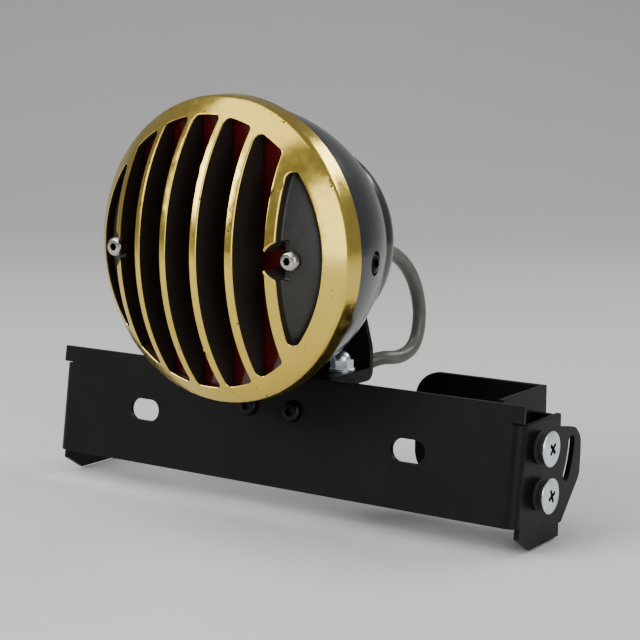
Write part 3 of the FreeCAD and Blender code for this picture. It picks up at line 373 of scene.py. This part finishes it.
def make_materials(finishes):
    """Every finish of the object, by the name that the pieces ask for."""
    MATERIALS.update(
        brass=polished_cast_brass(finishes.brass),
        recess=recess_paint(),
        lens=moulded_red_lens(finishes.red),
        gloss=black_coat("gloss_black_powder_coat", finishes.gloss, 0.20, 0.26, 1.4, 0.02, 0.4, 0.3),
        satin=black_coat("satin_black_powder_coat", finishes.black, 0.36, 0.42, 0.7, 0.02, 0.15, 0.0),
        zinc=plated_metal("bright_zinc_plate", "#F1F4F8", 0.30, 0.42, "#DCE6F0"),
        # painted shade: a dark blue-grey zinc for the insides of the drivers' recesses, standing in for the
        # shade there
        dull_zinc=plated_metal("zinc_with_painted_recess_shade", "#39434E", 0.45, 0.6, "#232A33"),
        stainless=plated_metal("turned_stainless_steel", "#BDB8AE", 0.16, 0.28, "#9E9A92"),
        oxide=plated_metal("black_oxide_steel", "#2A2A2C", 0.28, 0.42, "#1C1C1F"),
        spring=plated_metal("drawn_spring_steel", "#8C8C8C", 0.25, 0.4, "#6F6F70"),
        nickel=plated_metal("nickelled_brass", "#CFC7A8", 0.18, 0.3, "#BDAF84"),
        mirror=plated_metal("metallised_reflector", "#E6E6E4", 0.06, 0.14, "#D8D8D8", 3.0),
        rubber=moulded_rubber("moulded_black_rubber", "#111111"),
        sleeve=extruded_vinyl(finishes.cable),
        glass=clear_bulb_glass(),
        board=pressed_board(),
        nylon=moulded_nylon("moulded_black_nylon", "#161617"),
        wire=moulded_nylon("extruded_wire_insulation", "#1B1B1C"),
    )


NODE_FINISH = {
    "grille": "brass", "grille_screws": "stainless", "lens": "lens", "lens_gasket": "rubber",
    "reflector": "mirror", "housing": "gloss", "side_screws": "oxide", "rear_cover": "gloss",
    "lamp_screws": "oxide", "bulb_base": "nickel", "bulb_glass": "glass", "bulb_socket": "zinc",
    "contact_plate": "board", "contact_spring": "spring", "lead_wires": "wire", "cable": "rubber",
    "cable_grommet": "rubber", "connector": "nylon", "cable_clip": "rubber", "clip_screw": "oxide",
    "lamp_bracket": "satin", "shelf_bracket": "satin", "shelf_bolts": "zinc", "shelf_washers": "zinc",
    "dome_nuts": "zinc", "bar_screws": "oxide", "bar_nuts": "zinc", "plate_bar": "satin",
    "ear_screws": "zinc", "ear_spacers": "rubber", "ear_washers": "zinc", "ear_nuts": "zinc",
    "side_arm": "satin",
}


def paint_node(node, finish_name):
    """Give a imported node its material."""
    piece = frame["nodes"][node]
    piece.data.materials.clear()
    piece.data.materials.append(MATERIALS[finish_name])


# ---------------------------------------------------------------- mesh helpers

def sizes():
    """The scene's property group of fine sizes."""
    return bpy.context.scene.tail_light_sizes


def turn_sharp_by_angle(bm, degrees):
    """Smooth shading except across edges that turn by more than an angle."""
    limit = math.radians(degrees)
    for face in bm.faces:
        face.smooth = True
    for edge in bm.edges:
        edge.smooth = len(edge.link_faces) == 2 and edge.calc_face_angle(0.0) < limit


def make_piece(name, bm, finish_names, body, node, sharp=38):
    """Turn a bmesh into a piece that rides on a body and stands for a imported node."""
    turn_sharp_by_angle(bm, sharp)
    mesh = bpy.data.meshes.new(name)
    bm.to_mesh(mesh)
    bm.free()
    piece = bpy.data.objects.new(name, mesh)
    bpy.context.scene.collection.objects.link(piece)
    for finish_name in finish_names:
        mesh.materials.append(MATERIALS[finish_name])
    piece.modifiers.new("even_shading", "WEIGHTED_NORMAL").keep_sharp = True
    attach(piece, body)
    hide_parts(node)
    return piece


def welded_copy(node):
    """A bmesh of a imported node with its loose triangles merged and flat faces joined."""
    bm = bmesh.new()
    bm.from_mesh(frame["nodes"][node].data)
    bmesh.ops.remove_doubles(bm, verts=bm.verts, dist=0.002 * MM)
    bmesh.ops.dissolve_limit(bm, angle_limit=math.radians(0.4), verts=bm.verts, edges=bm.edges)
    return bm


def soften(bm, radius, turn=40, segments=2, wanted=None):
    """Round the edges that turn by more than an angle."""
    limit = math.radians(turn)
    picked = [edge for edge in bm.edges if len(edge.link_faces) == 2 and edge.calc_face_angle(0.0) > limit
              and (wanted is None or wanted(edge))]
    bmesh.ops.bevel(bm, geom=picked, offset=radius, offset_type="OFFSET", affect="EDGES", segments=segments,
                    profile=0.5, material=-1, clamp_overlap=False)


def stand(at, direction):
    """Local Z turned along a direction and moved to a point."""
    turn = Vector((0, 0, 1)).rotation_difference(Vector(direction))
    return Matrix.Translation(at) @ turn.to_matrix().to_4x4()


def gather(target, *others):
    """Add other bmeshes to the first one."""
    for other in others:
        carrier = bpy.data.meshes.new("carrier")
        other.to_mesh(carrier)
        other.free()
        target.from_mesh(carrier)
        bpy.data.meshes.remove(carrier)
    return target


def spin_section(bm, section, steps, closed):
    """Turn a half section of (radius, height) millimetres once about local Z."""
    verts = [bm.verts.new((radius * MM, 0, height * MM)) for radius, height in section]
    edges = [bm.edges.new(pair) for pair in zip(verts, verts[1:] + (verts[:1] if closed else []))]
    bmesh.ops.spin(bm, geom=verts + edges, cent=(0, 0, 0), axis=(0, 0, 1), angle=2 * math.pi, steps=steps,
                   use_merge=True)
    bmesh.ops.remove_doubles(bm, verts=bm.verts, dist=0.001 * MM)


def lathe(section, place, steps=64, closed=False):
    """A solid turned from a half section; a closed section makes a ring, an open one ends on the axis."""
    bm = bmesh.new()
    spin_section(bm, section, steps, closed)
    bmesh.ops.recalc_face_normals(bm, faces=bm.faces)
    bmesh.ops.transform(bm, matrix=place, verts=bm.verts)
    return bm


def dome_section(radius, height, flat, rim, turns=7):
    """Half section of a domed head from its seat up to the edge of its flat top."""
    section = [(0.0, 0.0), (radius - 0.15, 0.0), (radius, 0.2), (radius, rim)]
    for step in range(1, turns + 1):
        angle = math.pi / 2 * step / turns
        section.append((flat + (radius - flat) * math.cos(angle), rim + (height - rim) * math.sin(angle)))
    return section


def truss_section():
    """Half section of an ear screw's nearly flat head, from its stub of shank up to its driver's recess."""
    section = [(0.0, -SHANK_BELOW_SEAT), (EAR_SHANK, -SHANK_BELOW_SEAT), (EAR_SHANK, 0.0),
               (EAR_HEAD - 0.12, 0.0), (EAR_HEAD, 0.12)]
    reach = EAR_HEAD
    while reach > CROSS_ARM + 0.2:
        section.append((reach, EAR_HEAD_HEIGHT - reach ** 2 / (2 * EAR_HEAD_CROWN)))
        reach -= 0.7
    return section


def hexagon_reach(angle, across):
    """Distance from a hexagon's middle to its side at an angle; `across` is half its width over flats."""
    return across / math.cos((angle % (math.pi / 3)) - math.pi / 6)


def cross_reach(angle, arm, half_width):
    """Distance from the middle of a cross to its outline at an angle."""
    lean = abs((angle + math.pi / 4) % (math.pi / 2) - math.pi / 4)
    return min(arm / math.cos(lean), half_width / max(math.sin(lean), 0.05))


def recessed_head(section, reach, depth, taper, place, steps=48):
    """A domed head with a driver's recess sunk into its flat top; the recess takes the second finish, which for
    the grille and ear screws is a darker zinc painted as the shade inside the recess.
    """
    bm = bmesh.new()
    spin_section(bm, section, steps, False)
    rim = [edge for edge in bm.edges if len(edge.link_faces) == 1]
    top = bmesh.ops.contextual_create(bm, geom=rim)["faces"]
    lip = 0.12
    bmesh.ops.inset_region(bm, faces=top, thickness=lip * MM)
    for vert in top[0].verts:
        angle = math.atan2(vert.co.y, vert.co.x)
        vert.co.x, vert.co.y = reach(angle) * MM * math.cos(angle), reach(angle) * MM * math.sin(angle)
    floor = bmesh.ops.extrude_discrete_faces(bm, faces=top)["faces"][0]
    bmesh.ops.translate(bm, verts=floor.verts, vec=(0, 0, -depth * MM))
    bmesh.ops.scale(bm, verts=floor.verts, vec=(taper, taper, 1))
    # painted shade: the recess's walls and floor take the second finish, which for the grille and ear screws is
    # a darker metal that stands in for their shade
    for edge in floor.edges:
        for face in edge.link_faces:
            face.material_index = 1
    bmesh.ops.recalc_face_normals(bm, faces=bm.faces)
    bmesh.ops.transform(bm, matrix=place, verts=bm.verts)
    return bm


def button_head(radius, height, rim, key, depth, place):
    """A domed head with a hexagon socket; `key` is half the socket's width over its flats."""
    return recessed_head(dome_section(radius, height, radius * 0.62, rim),
                         lambda angle: hexagon_reach(angle, key), depth, 0.94, place)


def hexagon_solid(radius, height, place):
    """A nut or bolt head with turned chamfers; `radius` is over its corners."""
    bm = bmesh.new()
    bmesh.ops.create_circle(bm, cap_ends=True, segments=6, radius=radius * MM)
    bmesh.ops.subdivide_edges(bm, edges=bm.edges[:], cuts=7)
    made = bmesh.ops.extrude_face_region(bm, geom=bm.faces[:])["geom"]
    top = [part for part in made if isinstance(part, bmesh.types.BMVert)]
    bmesh.ops.translate(bm, verts=top, vec=(0, 0, height * MM))
    bmesh.ops.recalc_face_normals(bm, faces=bm.faces)
    chamfer_circle = radius * math.cos(math.pi / 6) * 0.96 * MM
    chamfer_slope = math.tan(math.radians(30))
    for level, way in ((height, 1), (0.0, -1)):
        end = [face for face in bm.faces if all(abs(vert.co.z - level * MM) < 1e-7 for vert in face.verts)]
        outer = list(end[0].verts)
        bmesh.ops.inset_region(bm, faces=end, thickness=0.3 * MM)
        for vert in end[0].verts:
            vert.co.x, vert.co.y = Vector((vert.co.x, vert.co.y)).normalized() * chamfer_circle
        for vert in outer:
            vert.co.z -= way * (math.hypot(vert.co.x, vert.co.y) - chamfer_circle) * chamfer_slope
    bmesh.ops.transform(bm, matrix=place, verts=bm.verts)
    return bm


def threaded_end(radius, length, pitch, place):
    """A thread rolled round a rod, from a point to the rod's chamfered tip."""
    core, around = radius - 0.61 * pitch, 20
    tip = length + 0.2
    rod = lathe([(0, 0), (core, 0), (core, length - 0.1), (core - 0.5, tip), (0, tip)], place, 32)
    bm = bmesh.new()
    root = core - 0.05
    section = ((root, 0.0), (radius, pitch * 0.45), (radius, pitch * 0.55), (root, pitch))
    verts = [bm.verts.new((across * MM, 0, up * MM)) for across, up in section]
    edges = [bm.edges.new(pair) for pair in zip(verts, verts[1:])]
    turns = max(1, int((length - pitch) / pitch))
    bmesh.ops.spin(bm, geom=verts + edges, cent=(0, 0, 0), axis=(0, 0, 1), dvec=(0, 0, pitch * MM / around),
                   angle=2 * math.pi * turns, steps=around * turns)
    bmesh.ops.remove_doubles(bm, verts=bm.verts, dist=0.002 * MM)
    bmesh.ops.recalc_face_normals(bm, faces=bm.faces)
    bmesh.ops.transform(bm, matrix=place, verts=bm.verts)
    return gather(rod, bm)


def pair_along(node, axis, radius):
    """Middles of the two like fasteners in a node, which stand `radius` inside the ends of its box."""
    low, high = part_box(node)
    found = []
    for end in (low[axis] + radius * MM, high[axis] - radius * MM):
        middle = (low + high) / 2
        middle[axis] = end
        found.append(middle)
    return found


def at_end(node, points, axis, end):
    """The same points moved to one end of the node's box along an axis."""
    moved = [point.copy() for point in points]
    for point in moved:
        point[axis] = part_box(node)[end][axis]
    return moved


# ---------------------------------------------------------------- pieces

def soft_sheet(name, node, finish_name, body):
    """A pressed-sheet node again, with its cut edges rounded as the coat rounds them."""
    bm = welded_copy(node)
    soften(bm, sizes().edge_radius)
    make_piece(name, bm, [finish_name], body, node)


class TAILLIGHT_OT_finishes(bpy.types.Operator):
    """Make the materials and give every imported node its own"""
    bl_idname = "taillight.finishes"
    bl_label = "Finishes"

    def execute(self, context):
        make_materials(context.scene.tail_light_finishes)
        for node, finish_name in NODE_FINISH.items():
            paint_node(node, finish_name)
        return {"FINISHED"}


def cable_end():
    """Where the cable runs into its connector, and the way it runs there."""
    end, before = Vector(CABLE_ROUTE[-1]), Vector(CABLE_ROUTE[-2])
    return end, (end - before).normalized()


class TAILLIGHT_OT_cable(bpy.types.Operator):
    """Vinyl-sleeved cable with its ribbed grommet and its two-way connector"""
    bl_idname = "taillight.cable"
    bl_label = "Cable and connector"

    def execute(self, context):
        connector = make_connector()
        line = bpy.data.curves.new("lamp_cable", "CURVE")
        line.dimensions = "3D"
        spline = line.splines.new("NURBS")
        spline.points.add(len(CABLE_ROUTE) - 1)
        for point, place in zip(spline.points, CABLE_ROUTE):
            point.co = (*place, 1.0)
        spline.order_u = 3
        spline.use_endpoint_u = True
        spline.resolution_u = 12
        line.bevel_depth = sizes().cable_diameter / 2
        line.bevel_resolution = 6
        line.use_fill_caps = True
        line.materials.append(MATERIALS["sleeve"])
        cable = bpy.data.objects.new("lamp_cable", line)
        bpy.context.scene.collection.objects.link(cable)
        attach(cable, LAMP_BODY)
        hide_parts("cable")
        make_grommet()
        return {"FINISHED"}


def make_connector():
    """Two-way nylon connector: ribbed boot, stepped body, side grips and a sprung latch."""
    end, way = cable_end()
    place = stand(end, way)
    boot = [(3.3, 0.0), (4.2, 0.0)]
    for rib in range(4):
        start = 0.6 + 2.0 * rib
        boot += [(4.6, start), (4.6, start + 1.1), (4.0, start + 1.3), (4.0, start + 1.9)]
    boot += [(4.6, 9.2), (3.3, 9.2)]
    bm = lathe(boot, place, 40, closed=True)
    body = block((9.0, 15.0, 24.0), (0, 0, 21.0), place, 0.7)
    collar = block((7.4, 16.0, 7.0), (0, 0, 14.0), place, 0.5)
    latch = block((1.4, 5.0, 15.0), (4.7, 0, 22.0), place, 0.4)
    catch = block((1.6, 5.0, 2.2), (5.4, 0, 28.0), place, 0.4)
    parts = [body, collar, latch, catch]
    for rib in range(5):
        parts.append(block((9.6, 11.0, 0.8), (0, 0, 18.5 + 2.0 * rib), place, 0.25))
    gather(bm, *parts)
    return make_piece("two_way_connector", bm, ["nylon"], LAMP_BODY, "connector")


def block(size, middle, place, rounding):
    """A rounded moulded block, in millimetres about local Z."""
    bm = bmesh.new()
    bmesh.ops.create_cube(bm, size=MM)
    bmesh.ops.scale(bm, verts=bm.verts, vec=size)
    bmesh.ops.translate(bm, verts=bm.verts, vec=Vector(middle) * MM)
    bmesh.ops.bevel(bm, geom=bm.edges[:], offset=rounding * MM, offset_type="OFFSET", affect="EDGES",
                    segments=2, profile=0.5, material=-1, clamp_overlap=True)
    bmesh.ops.transform(bm, matrix=place, verts=bm.verts)
    return bm


def make_grommet():
    """Rubber grommet with a ribbed, tapered tail round the cable."""
    low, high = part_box("cable_grommet")
    middle = (low + high) / 2
    middle.y = low.y
    section = [(3.35, 0.0), (7.2, 0.0), (7.5, 0.3), (7.5, 1.5), (7.2, 1.8), (5.4, 1.8), (5.4, 4.0),
               (6.6, 4.0), (6.9, 4.4), (6.8, 5.4)]
    for rib in range(3):
        start, radius = 5.8 + 2.0 * rib, 6.3 - 0.45 * rib
        section += [(radius - 0.7, start), (radius - 0.7, start + 0.5), (radius, start + 0.8),
                    (radius - 0.1, start + 1.6)]
    section += [(4.5, 11.8), (4.0, 12.0), (3.35, 12.0)]
    bm = lathe(section, stand(middle, Y_AXIS), 56, closed=True)
    make_piece("ribbed_grommet", bm, ["rubber"], LAMP_BODY, "cable_grommet")


class TAILLIGHT_OT_grille(bpy.types.Operator):
    """Cast brass grille with rounded edges and black enamel in its slots"""
    bl_idname = "taillight.grille"
    bl_label = "Brass grille"

    def execute(self, context):
        bm = welded_copy("grille")
        low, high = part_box("grille")
        middle = (low + high) / 2
        centre = Vector((middle.x, low.y + DOME_RADIUS * MM, middle.z))

        def from_axis(point):
            return math.hypot(point.x - middle.x, point.z - middle.z) / MM

        def on_shoulder(edge):
            return all(abs(from_axis(vert.co) - SHOULDER_RADIUS) < CIRCLE_TOLERANCE for vert in edge.verts)

        soften(bm, sizes().shoulder_radius, turn=25, segments=4, wanted=on_shoulder)
        soften(bm, sizes().casting_radius, turn=32, segments=3,
               wanted=lambda edge: from_axis(edge.verts[0].co) < SLOT_RADIUS + SLOT_MARGIN)
        for face in bm.faces:
            point = face.calc_center_median()
            on_dome = abs((point - centre).length / MM - DOME_RADIUS) < DOME_TOLERANCE
            face.material_index = 0 if on_dome or from_axis(point) > SLOT_RADIUS + SLOT_MARGIN else 1
        make_piece("cast_brass_grille", bm, ["brass", "recess"], LAMP_BODY, "grille")
        return {"FINISHED"}


class TAILLIGHT_OT_lens(bpy.types.Operator):
    """Red lens with moulded prism rings on its back"""
    bl_idname = "taillight.lens"
    bl_label = "Red lens"

    def execute(self, context):
        low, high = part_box("lens")
        middle = (low + high) / 2
        middle.y = low.y
        outside, thick, land, pitch = 60.1, 2.8, 54.0, 2.0
        section = [(0.0, 0.0), (outside - 0.4, 0.0), (outside, 0.4), (outside, thick), (land, thick)]
        ring = land - pitch / 2
        while ring > 3.0:
            section += [(ring, thick - 0.1), (ring - pitch / 2, thick - 0.8)]
            ring -= pitch
        section.append((0.0, thick - 0.4))
        bm = lathe(section, stand(middle, Y_AXIS), 96)
        make_piece("ringed_red_lens", bm, ["lens"], LAMP_BODY, "lens", sharp=20)
        return {"FINISHED"}


class TAILLIGHT_OT_lamp_screws(bpy.types.Operator):
    """Hexagon-socket button screws of the grille"""
    bl_idname = "taillight.lamp_screws"
    bl_label = "Lamp screws"

    def execute(self, context):
        tops = at_end("grille_screws", pair_along("grille_screws", X, GRILLE_HEAD), Y, LOW)
        seats = [top + Vector((0, GRILLE_HEAD_HEIGHT * MM, 0)) for top in tops]
        fasteners("grille_button_screws", "grille_screws", ["stainless", "dull_zinc"],
                  [button_head(GRILLE_HEAD, GRILLE_HEAD_HEIGHT, GRILLE_HEAD_RIM, GRILLE_KEY, GRILLE_KEY_DEPTH,
                               stand(seat, (0, -1, 0))) for seat in seats])
        return {"FINISHED"}


def fasteners(name, node, finish_names, solids):
    """One piece on the lamp's body from fastener solids; a second finish is for the drivers' recesses, and
    where it is the darker zinc it is painted shade.
    """
    make_piece(name, gather(bmesh.new(), *solids), finish_names, LAMP_BODY, node)


def flat_washer(radius, bore, gauge, place):
    """A stamped washer: one edge rolled over by the die."""
    return lathe([(bore, 0.1), (bore + 0.1, 0.0), (radius - 0.1, 0.0), (radius, 0.1), (radius, gauge - 0.25),
                  (radius - 0.25, gauge), (bore + 0.1, gauge), (bore, gauge - 0.1)], place, 48, closed=True)


def truss_screw(seat, tip, nut_face, nut_height, turn):
    """An ear screw: its crossed head, a plain shank to inside the nut, and a thread from there to its tip."""
    start = nut_face - Vector((nut_height * 0.8 * MM, 0, 0))
    plain = (seat.x - start.x) / MM - SHANK_BELOW_SEAT + 0.5
    place = stand(seat, X_AXIS) @ Matrix.Rotation(math.radians(turn), 4, "Z")
    return [recessed_head(truss_section(), lambda angle: cross_reach(angle, CROSS_ARM, CROSS_HALF_WIDTH),
                          CROSS_DEPTH, CROSS_TAPER, place, steps=96),
            lathe([(0, 0), (EAR_SHANK, 0), (EAR_SHANK, plain), (0, plain)], stand(start, X_AXIS), 40),
            threaded_end(EAR_SHANK, (start.x - tip.x) / MM - 0.3, EAR_THREAD, stand(start, (-1, 0, 0)))]


def rubber_spacer(place):
    """A rubber spacer with a rounded flange at each end and a waist between them."""
    outline = [(3.02, 0.0), (6.6, 0.0), (7.0, 0.35), (7.0, 1.25), (6.6, 1.6), (6.0, 1.8), (6.0, 3.1),
               (6.6, 3.3), (7.0, 3.65), (7.0, 4.55), (6.6, 4.9), (3.02, 4.9)]
    return lathe(outline, place, 56, closed=True)


class TAILLIGHT_OT_ear_fasteners(bpy.types.Operator):
    """Truss screws, rubber spacers, washers and nuts of the bar's right ear"""
    bl_idname = "taillight.ear_fasteners"
    bl_label = "Ear fasteners"

    def execute(self, context):
        middles = pair_along("ear_screws", Z, EAR_HEAD)
        tops = at_end("ear_screws", middles, X, HIGH)
        seats = [top - Vector((EAR_HEAD_HEIGHT * MM, 0, 0)) for top in tops]
        tips = at_end("ear_screws", middles, X, LOW)
        nuts = at_end("ear_nuts", middles, X, HIGH)
        nut_low, nut_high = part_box("ear_nuts")
        nut_height = (nut_high.x - nut_low.x) / MM
        screws = []
        for seat, tip, nut_face, turn in zip(seats, tips, nuts, EAR_TURNS):
            screws += truss_screw(seat, tip, nut_face, nut_height, turn)
        fasteners("truss_ear_screws", "ear_screws", ["zinc", "dull_zinc"], screws)
        fasteners("rubber_ear_spacers", "ear_spacers", ["rubber"],
                  [rubber_spacer(stand(seat, X_AXIS)) for seat in at_end("ear_spacers", middles, X, LOW)])
        fasteners("ear_flat_washers", "ear_washers", ["zinc"],
                  [flat_washer(EAR_WASHER, EAR_WASHER_BORE, EAR_WASHER_GAUGE, stand(seat, (-1, 0, 0)))
                   for seat in at_end("ear_washers", middles, X, HIGH)])
        fasteners("ear_hexagon_nuts", "ear_nuts", ["zinc"],
                  [hexagon_solid(EAR_NUT, nut_height, stand(seat, (-1, 0, 0))) for seat in nuts])
        return {"FINISHED"}


def acorn_nut(base):
    """A dome nut: its hexagon and the round cap on it."""
    place = stand(base, Z_AXIS)
    cap = [(0.0, DOME_CAP_BASE - 0.3), (DOME_CAP, DOME_CAP_BASE - 0.3)]
    for step in range(11):
        angle = step * math.pi / 20
        cap.append((DOME_CAP * math.cos(angle), DOME_CAP_BASE + DOME_CAP_RISE * math.sin(angle)))
    return [hexagon_solid(DOME_NUT, DOME_NUT_HEIGHT, place), lathe(cap, place, 48)]


class TAILLIGHT_OT_shelf_fasteners(bpy.types.Operator):
    """Shelf bolts, washers and dome nuts, and the bar's screws and nuts"""
    bl_idname = "taillight.shelf_fasteners"
    bl_label = "Bracket fasteners"

    def execute(self, context):
        heads = at_end("shelf_bolts", pair_along("shelf_bolts", X, SHELF_HEAD), Z, LOW)
        fasteners("shelf_hexagon_bolts", "shelf_bolts", ["zinc"],
                  [hexagon_solid(SHELF_HEAD, SHELF_HEAD_HEIGHT, stand(head, Z_AXIS)) for head in heads])
        rings = at_end("shelf_washers", pair_along("shelf_washers", X, SHELF_WASHER), Z, LOW)
        fasteners("shelf_flat_washers", "shelf_washers", ["zinc"],
                  [flat_washer(SHELF_WASHER, SHELF_WASHER_BORE, SHELF_WASHER_GAUGE, stand(ring, Z_AXIS))
                   for ring in rings])
        acorns = []
        for base in at_end("dome_nuts", pair_along("dome_nuts", X, DOME_NUT), Z, LOW):
            acorns += acorn_nut(base)
        fasteners("acorn_nuts", "dome_nuts", ["zinc"], acorns)
        self.bar_fasteners()
        return {"FINISHED"}

    def bar_fasteners(self):
        """Two button screws through the sloping bar, with nuts and threaded tips behind."""
        slots = {mount["name"]: mount for mount in frame["record"]["mounts"]}["plate_slots"]
        outward = Vector(slots["axis"])
        up_the_bar = outward.cross(Vector(X_AXIS))
        screws, nuts = [], []
        for side in (-1, 1):
            seat = Vector(slots["pos_m"]) + up_the_bar * (SLOT_DROP - SCREW_DROP) * MM
            seat.x += side * HALF_SCREW_SPACING * MM
            back = seat - outward * BAR_STACK * MM
            thread_start = back - outward * (BAR_NUT_HEIGHT - 0.6) * MM
            screws.append(button_head(BAR_HEAD, BAR_HEAD_HEIGHT, BAR_HEAD_RIM, BAR_KEY, BAR_KEY_DEPTH,
                                      stand(seat, outward)))
            screws.append(threaded_end(BAR_SHANK, 4.2, BAR_THREAD, stand(thread_start, -outward)))
            nuts.append(hexagon_solid(BAR_NUT, BAR_NUT_HEIGHT, stand(back, -outward)))
        fasteners("bar_button_screws", "bar_screws", ["oxide", "oxide"], screws)
        fasteners("bar_hexagon_nuts", "bar_nuts", ["zinc"], nuts)


class TAILLIGHT_OT_sheet_metal(bpy.types.Operator):
    """Bar, side arm and brackets with rounded edges"""
    bl_idname = "taillight.sheet_metal"
    bl_label = "Bar, arm and brackets"

    def execute(self, context):
        soft_sheet("number_plate_bar", "plate_bar", "satin", LAMP_BODY)
        soft_sheet("welded_side_arm", "side_arm", "satin", ARM_BODY)
        soft_sheet("lamp_bracket_plate", "lamp_bracket", "satin", LAMP_BODY)
        soft_sheet("shelf_angle", "shelf_bracket", "satin", LAMP_BODY)
        return {"FINISHED"}


class TAILLIGHT_OT_stage(bpy.types.Operator):
    """Floor, lights and camera"""
    bl_idname = "taillight.stage"
    bl_label = "Studio"

    def execute(self, context):
        make_camera(context.scene.tail_light_studio)
        make_floor(context.scene.tail_light_finishes.floor, context.scene.tail_light_studio.yaw)
        make_lights()
        return {"FINISHED"}


def make_camera(studio):
    """The camera, set by its place, yaw, pitch and roll."""
    data = bpy.data.cameras.new("camera")
    data.lens = studio.lens
    data.sensor_width = 36.0
    data.clip_end = 20.0
    camera = bpy.data.objects.new("camera", data)
    turn = (Matrix.Rotation(studio.yaw, 4, "Z") @ Matrix.Rotation(math.pi / 2 - studio.pitch, 4, "X")
            @ Matrix.Rotation(studio.roll, 4, "Z"))
    camera.matrix_world = Matrix.Translation((studio.camera_x, studio.camera_y, studio.camera_z)) @ turn
    bpy.context.scene.collection.objects.link(camera)
    bpy.context.scene.camera = camera


def make_floor(colour, yaw):
    """A pale board under the object, turned to the camera, that curves up behind it."""
    bm = bmesh.new()
    reach, flat, rise = 3.0, 1.2, 1.4
    bmesh.ops.create_grid(bm, x_segments=1, y_segments=24, size=reach)
    for vert in bm.verts:
        back = vert.co.y - flat
        if back > 0:
            vert.co.z = rise * (back / (reach - flat)) ** 2
    low = CAD_BOX[0].z - 1.0 * MM
    bmesh.ops.translate(bm, verts=bm.verts, vec=(0, 0, low))
    for face in bm.faces:
        face.smooth = True
    mesh = bpy.data.meshes.new("floor")
    bm.to_mesh(mesh)
    bm.free()
    floor = bpy.data.objects.new("floor", mesh)
    floor.rotation_euler = (0, 0, yaw)
    mesh.materials.append(painted_floor(colour))
    bpy.context.scene.collection.objects.link(floor)


def soft_light(name, place, target, width, height, power):
    """A rectangular soft box that faces a point."""
    data = bpy.data.lights.new(name, "AREA")
    data.shape = "RECTANGLE"
    data.size = width
    data.size_y = height
    data.energy = power
    light = bpy.data.objects.new(name, data)
    light.location = place
    light.rotation_euler = (Vector(target) - Vector(place)).to_track_quat("-Z", "Y").to_euler()
    bpy.context.scene.collection.objects.link(light)


def make_lights():
    """Key box to the left, fill to the right, one overhead, a strip over the back and a dim grey room."""
    centre = (CAD_BOX[0] + CAD_BOX[1]) / 2
    soft_light("key_box", centre + Vector((-0.6, -1.1, 0.8)), centre, 1.1, 0.9, 20)
    soft_light("fill_box", centre + Vector((1.2, -0.6, 0.4)), centre, 1.0, 1.1, 9)
    soft_light("top_box", centre + Vector((-0.2, -0.3, 1.3)), centre, 1.3, 1.0, 9)
    soft_light("back_strip", centre + Vector((0.6, 1.0, 0.9)), centre, 1.0, 0.3, 8)
    world = bpy.data.worlds.new("studio")
    world.use_nodes = True
    world.node_tree.nodes["Background"].inputs["Color"].default_value = (0.55, 0.57, 0.6, 1)
    world.node_tree.nodes["Background"].inputs["Strength"].default_value = 0.45
    bpy.context.scene.world = world


OPERATORS = (TAILLIGHT_OT_stage, TAILLIGHT_OT_finishes, TAILLIGHT_OT_cable, TAILLIGHT_OT_grille,
             TAILLIGHT_OT_lens, TAILLIGHT_OT_lamp_screws, TAILLIGHT_OT_sheet_metal,
             TAILLIGHT_OT_shelf_fasteners, TAILLIGHT_OT_ear_fasteners)


class TAILLIGHT_PT_panel(bpy.types.Panel):
    """Sizes, colours and the piece operators"""
    bl_label = "Tail light"
    bl_idname = "TAILLIGHT_PT_panel"
    bl_space_type = "VIEW_3D"
    bl_region_type = "UI"
    bl_category = "Tail light"

    def draw(self, context):
        scene = context.scene
        for group in (scene.tail_light_sizes, scene.tail_light_finishes, scene.tail_light_studio):
            column = self.layout.column()
            for name in group.__annotations__:
                column.prop(group, name)
        for operator in OPERATORS:
            self.layout.operator(operator.bl_idname)


GROUPS = (("tail_light_sizes", TailLightSizes), ("tail_light_finishes", TailLightFinishes),
          ("tail_light_studio", TailLightStudio))
CLASSES = (TailLightSizes, TailLightFinishes, TailLightStudio) + OPERATORS + (TAILLIGHT_PT_panel,)


def register():
    for cls in CLASSES:
        bpy.utils.register_class(cls)
    for name, group in GROUPS:
        setattr(bpy.types.Scene, name, bpy.props.PointerProperty(type=group))


def unregister():
    for name, _ in GROUPS:
        delattr(bpy.types.Scene, name)
    for cls in reversed(CLASSES):
        bpy.utils.unregister_class(cls)


def main():
    register()
    for operator in OPERATORS:
        group, name = operator.bl_idname.split(".")
        getattr(getattr(bpy.ops, group), name)()


if __name__ == "__main__":
    main()
